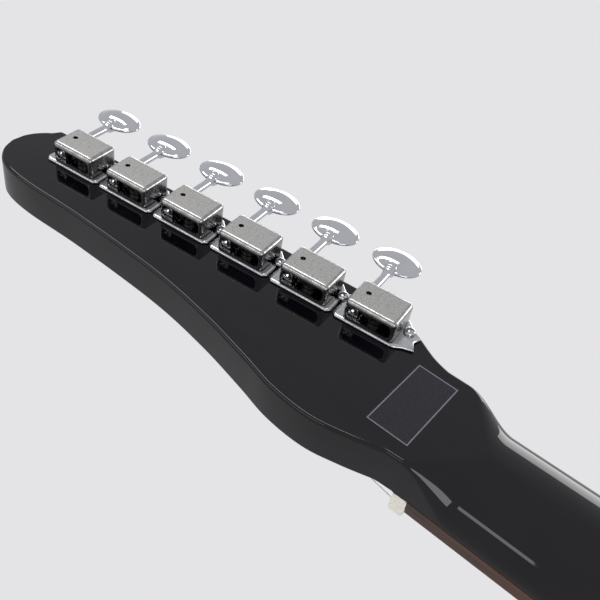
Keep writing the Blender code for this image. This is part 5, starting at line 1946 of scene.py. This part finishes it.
@dataclass
class Bridge:
    """Bridge plate with a turned-up lip, its screws, and three barrel saddles."""

    body: Body
    strings: Strings
    width: float = 82.0 * MM
    thick: float = 2.0 * MM
    lip_ease: float = 0.4 * MM
    front_ease: float = 0.5 * MM
    front: float = 19.0 * MM
    back: float = 36.0 * MM
    lip: float = 14.0 * MM
    lip_hole: float = 1.25 * MM
    barrel: float = 3.4 * MM
    barrel_length: float = 19.5 * MM
    foot: float = 1.5 * MM
    foot_place: float = 0.7
    socket_depth: float = 0.9 * MM
    hexagon: float = 0.75 * MM
    hexagon_depth: float = 2.4 * MM
    barrel_edge: float = 0.35 * MM
    bolt: float = 1.2 * MM
    bolt_pitch: float = 0.8 * MM
    # The bolt's head behind the lip: places along it and radii, in mm.
    bolt_head: Pairs = ((-2.2, 1.6), (-1.9, 2.2), (-0.4, 2.4), (-0.35, 2.4))
    spring_turns: int = 9
    spring_wire: float = 0.3 * MM
    spring_clear: float = 0.4 * MM
    spring_length: float = 20.0 * MM
    screw_head: Pair = (3.1 * MM, 1.3 * MM)
    screw_places: Pairs = ((-33, 12), (33, 12), (-33, -27), (33, -27))
    saddles: int = 3

    @property
    def top(self) -> float:
        """Height of the plate's top."""
        return self.body.face - GAP - self.thick

    @property
    def middle(self) -> float:
        """Height of the barrels' axes."""
        return self.barrel - self.strings.saddle_top

    def saddle_x(self, number: int) -> float:
        """Place across the bridge of saddle 0, on the treble side, to the last."""
        return (1 - number) * self.strings.bridge_spread * 2 / 5

    def plate(self) -> Shape:
        """The plate bent up at the back, with holes for the strings and the saddles' bolts.

        Returns:
            The plate.
        """
        scale, half, thick, ease = self.body.neck.scale, self.width / 2, self.thick, self.lip_ease
        front, back = self.front - scale, -scale - self.back
        low, high = self.body.face - GAP, self.body.face - self.lip
        profile = [(low, front)]
        profile += [(low - thick * (1 - sin(a)), back + thick * (1 - cos(a)))
                    for a in (pi / 2 * (1 - i / 8) for i in range(9))]
        profile += [(high + ease, back), (high, back + ease), (high, back + thick - ease),
                    (high + ease, back + thick), (self.top, back + thick),
                    (self.top, front - self.front_ease), (self.top + self.front_ease, front)]
        shape = Shape.loft([[(x, y, z) for y, z in profile] for x in (-half, half)])
        holes = [(self.strings.board.string_x(number, self.strings.bridge_spread), -self.strings.lip_height,
                  self.lip_hole) for number in range(1, len(self.strings.gauges) + 1)]
        holes += [(self.saddle_x(number), self.middle, self.bolt + GAP) for number in range(self.saddles)]
        along = quarter("X")
        return shape.cut(*(Shape.rod(-PAST, PAST, radius).moved(move(x, y, back) @ along)
                           for x, y, radius in holes))

    def saddle(self) -> Shape:
        """A barrel with a bolt hole and two height screws standing on the plate.

        Returns:
            The saddle about its own axis.
        """
        half, edge, barrel = self.barrel_length / 2, self.barrel_edge, self.barrel
        profile = [(-half, barrel - edge), (edge - half, barrel)]
        shape = Shape.turned([*profile, *((-y, r) for y, r in reversed(profile))], 56)
        shape = shape.moved(quarter("Z"))
        hole = Shape.rod(-PAST, PAST, self.bolt + GAP).moved(quarter("X"))
        feet, sockets = [], []
        for x in (-half * self.foot_place, half * self.foot_place):
            leg = [(-barrel + 0.5 * MM, self.foot), (self.top - GAP - self.middle, self.foot * 0.9)]
            feet.append(Shape.turned(leg, 28).at(x, 0.0, 0.0))
            for depth, radius, segments in ((self.socket_depth, self.foot, 28),
                                            (self.hexagon_depth, self.hexagon, 6)):
                sockets.append(Shape.rod(-2 * barrel, depth - barrel, radius, segments).at(x, 0.0, 0.0))
        return shape.joined(*feet).cut(hole, *sockets)

    def bolt_shape(self) -> Shape:
        """The bolt that draws a saddle back and forth, headed behind the lip.

        Returns:
            The bolt about Z, with its thread towards the neck.
        """
        profile = [(y * MM, radius * MM) for y, radius in self.bolt_head]
        profile.append((profile[-1][0], self.bolt))
        pitch = self.bolt_pitch
        for i in range(int((self.back - self.barrel * 0.2) / pitch)):
            profile += [(i * pitch, self.bolt), (i * pitch + pitch * 0.5, self.bolt * 0.86)]
        slot = Shape.box((-3 * MM, -3 * MM, -0.3 * MM), (3 * MM, -1.3 * MM, 0.3 * MM))
        return Shape.turned(profile, 32).cut(slot).moved(quarter("X"))

    def spring(self) -> Shape:
        """The coil spring on the bolt, pressed against the lip.

        Returns:
            The spring about Z.
        """
        steps, wide = 20, self.bolt + GAP + self.spring_clear
        count, points = self.spring_turns * steps, []
        for i in range(count + 1):
            a = 2 * pi * i / steps
            points.append(Vector((wide * cos(a), wide * sin(a), self.spring_length * i / count)))
        return self.strings.tube(points, self.spring_wire)

    def plate_screws(self) -> Shape:
        """Four screws through the plate's front and back corners.

        Returns:
            The screws as one piece.
        """
        heads, flip = Shape(), quarter("X", 2)
        for i, (x, z) in enumerate(self.screw_places):
            place = move(x * MM, self.top - SINK, z * MM - self.body.neck.scale)
            heads.beside(pan_head(*self.screw_head, 20.0 + 33.0 * i).moved(place @ flip))
        return heads

    def build(self, shop: Workshop) -> None:
        """Adds the bridge; each barrel slides with its own body.

        Args:
            shop: takes the pieces.
        """
        shop.place("bridge_plate_pressing", self.plate(), CHROME, stands_for=("bridge_plate",))
        shop.place("bridge_plate_screws", self.plate_screws(), CHROME)
        saddle, bolt, spring = self.saddle().mesh(), self.bolt_shape().mesh(40), self.spring().mesh(60)
        under, rear = -self.body.neck.scale, -self.body.neck.scale - self.back
        for number in range(self.saddles):
            place, behind, within = (move(self.saddle_x(number), self.middle, z)
                                     for z in (under, rear, rear + self.thick + self.spring_clear))
            name = f"saddle_{number + 1}"
            shop.place(f"{name}_barrel", saddle, BRASS, f"saddle_slider_{number + 1}", (name,), place)
            shop.place(f"{name}_bolt", bolt, CHROME, matrix=behind)
            shop.place(f"{name}_spring", spring, STEEL, matrix=within)


@dataclass
class Studio:
    """Plain pale floor, soft lamps and the camera."""

    floor_height: float = -0.8693
    floor_half: float = 6.0
    pale: str = "#E4E4E6"
    ambient: str = "#D8DADE"
    eye: Point = (0.15380, 0.18932, -0.03144)
    right: Point = (-0.62219, 0.14798, -0.76875)
    up: Point = (-0.46362, 0.72161, 0.51413)
    lens: float = 46.8
    sensor: float = 36.0
    clip_start: float = 0.01
    lit: Point = (0.0, 0.0, 0.1)
    # Each lamp's name, place, width and height, and watts: one over the back, two at the sides, and two
    # small low ones for the buttons' and shafts' streaks.
    soft_lamps: tuple[tuple[str, Point, Pair, float], ...] = (
        ("overhead", (-0.12, 1.05, 0.62), (0.22, 1.1), 6.5),
        ("bass_side", (-1.15, -0.05, 0.45), (0.6, 1.3), 8.5),
        ("treble_side", (1.2, 0.85, 0.7), (0.18, 1.6), 4.0),
        ("treble_low", (0.43, 0.22, -0.38), (0.18, 0.36), 1.0),
        ("bass_low", (-0.48, 0.12, -0.27), (0.2, 0.2), 0.7),
    )

    def floor(self) -> None:
        """Adds the floor, which isn't part of the guitar and which polished faces see as the surround."""
        shape = Shape()
        wide, height = self.floor_half, self.floor_height
        corners = [(x * wide, y * wide, height) for x, y in ((-1, -1), (1, -1), (1, 1), (-1, 1))]
        shape.bm.faces.new([shape.bm.verts.new(corner) for corner in corners])
        coat = FLOOR_PAINT.build()
        tree = coat.node_tree
        output = next(node for node in tree.nodes if node.type == "OUTPUT_MATERIAL")
        matt = output.inputs["Surface"].links[0].from_socket
        path = add(tree, "LightPath")
        glow = add(tree, "Emission", {"Color": linear(self.pale), "Strength": 1.0})
        mix = add(tree, "MixShader", {}, {0: path.outputs["Is Glossy Ray"], 1: matt, 2: glow.outputs[0]})
        tree.links.new(mix.outputs[0], output.inputs["Surface"])
        mesh = shape.mesh()
        mesh.materials.append(coat)
        linked("floor", mesh)

    def world(self) -> None:
        """Sets a pale surround that the camera and shiny surfaces see, and a dimmer one that lights."""
        world = bpy.data.worlds.new("studio")
        bpy.context.scene.world = world
        world.use_nodes = True
        tree = world.node_tree
        tree.nodes.clear()
        rays = add(tree, "LightPath").outputs
        highest = {"operation": "MAXIMUM"}
        seen = add(tree, "Math", highest, {0: rays["Is Camera Ray"], 1: rays["Is Glossy Ray"]})
        clear = add(tree, "Math", highest, {0: seen.outputs[0], 1: rays["Is Transmission Ray"]})
        shown = add(tree, "Background", {"Color": linear(self.pale), "Strength": 1.0})
        light = add(tree, "Background", {"Color": linear(self.ambient), "Strength": 1.0})
        mix = add(tree, "MixShader", {}, {0: clear.outputs[0], 1: light.outputs[0], 2: shown.outputs[0]})
        add(tree, "OutputWorld", {}, {0: mix.outputs[0]})

    def lamp(self, name: str, place: Point, size: Pair, watts: float) -> None:
        """Adds one soft rectangular lamp that faces the headstock.

        Args:
            name: the lamp's name.
            place: where it stands.
            size: its width and height.
            watts: its power.
        """
        data = bpy.data.lights.new(name, "AREA")
        data.shape = "RECTANGLE"
        data.size, data.size_y = size
        data.energy = watts
        lamp = linked(name, data)
        lamp.location = place
        lamp.visible_camera = False
        lamp.rotation_euler = (Vector(self.lit) - Vector(place)).to_track_quat("-Z", "Y").to_euler()

    def camera(self) -> None:
        """Adds the camera at the photograph's viewing angle."""
        data = bpy.data.cameras.new("camera")
        data.lens, data.sensor_width = self.lens, self.sensor
        data.clip_start = self.clip_start
        camera = linked("camera", data)
        right, up = Vector(self.right).normalized(), Vector(self.up)
        back = right.cross(up).normalized()
        up = back.cross(right)
        turn = Matrix((right, up, back)).transposed().to_4x4()
        camera.matrix_world = Matrix.Translation(self.eye) @ turn
        bpy.context.scene.camera = camera

    def build(self) -> None:
        """Sets up the whole studio."""
        bpy.context.scene.view_settings.view_transform = "Standard"
        self.floor()
        self.world()
        for lamp in self.soft_lamps:
            self.lamp(*lamp)
        self.camera()


PLAIN_NODES = {"truss_rod": STEEL, "truss_rod_nut": BRASS}


def main() -> None:
    """Builds the guitar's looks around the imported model, piece by piece."""
    logging.basicConfig(level=logging.INFO, format="%(message)s")
    for obj in list(bpy.data.objects):
        bpy.data.objects.remove(obj)
    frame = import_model()
    shop = Workshop(frame)
    row = TunerRow()
    Studio().build()
    neck = Neck(row)
    neck.build(shop)
    TuningMachine(row).build(shop)
    board = Fingerboard(neck)
    strings = Strings(board)
    board.build(shop, strings.radii)
    strings.build(shop)
    body = Body(neck)
    body.build(shop)
    Controls(body).build(shop)
    Bridge(body, strings).build(shop)
    for name, finish in PLAIN_NODES.items():
        shop.dress(name, finish)


if __name__ == "__main__":
    main()
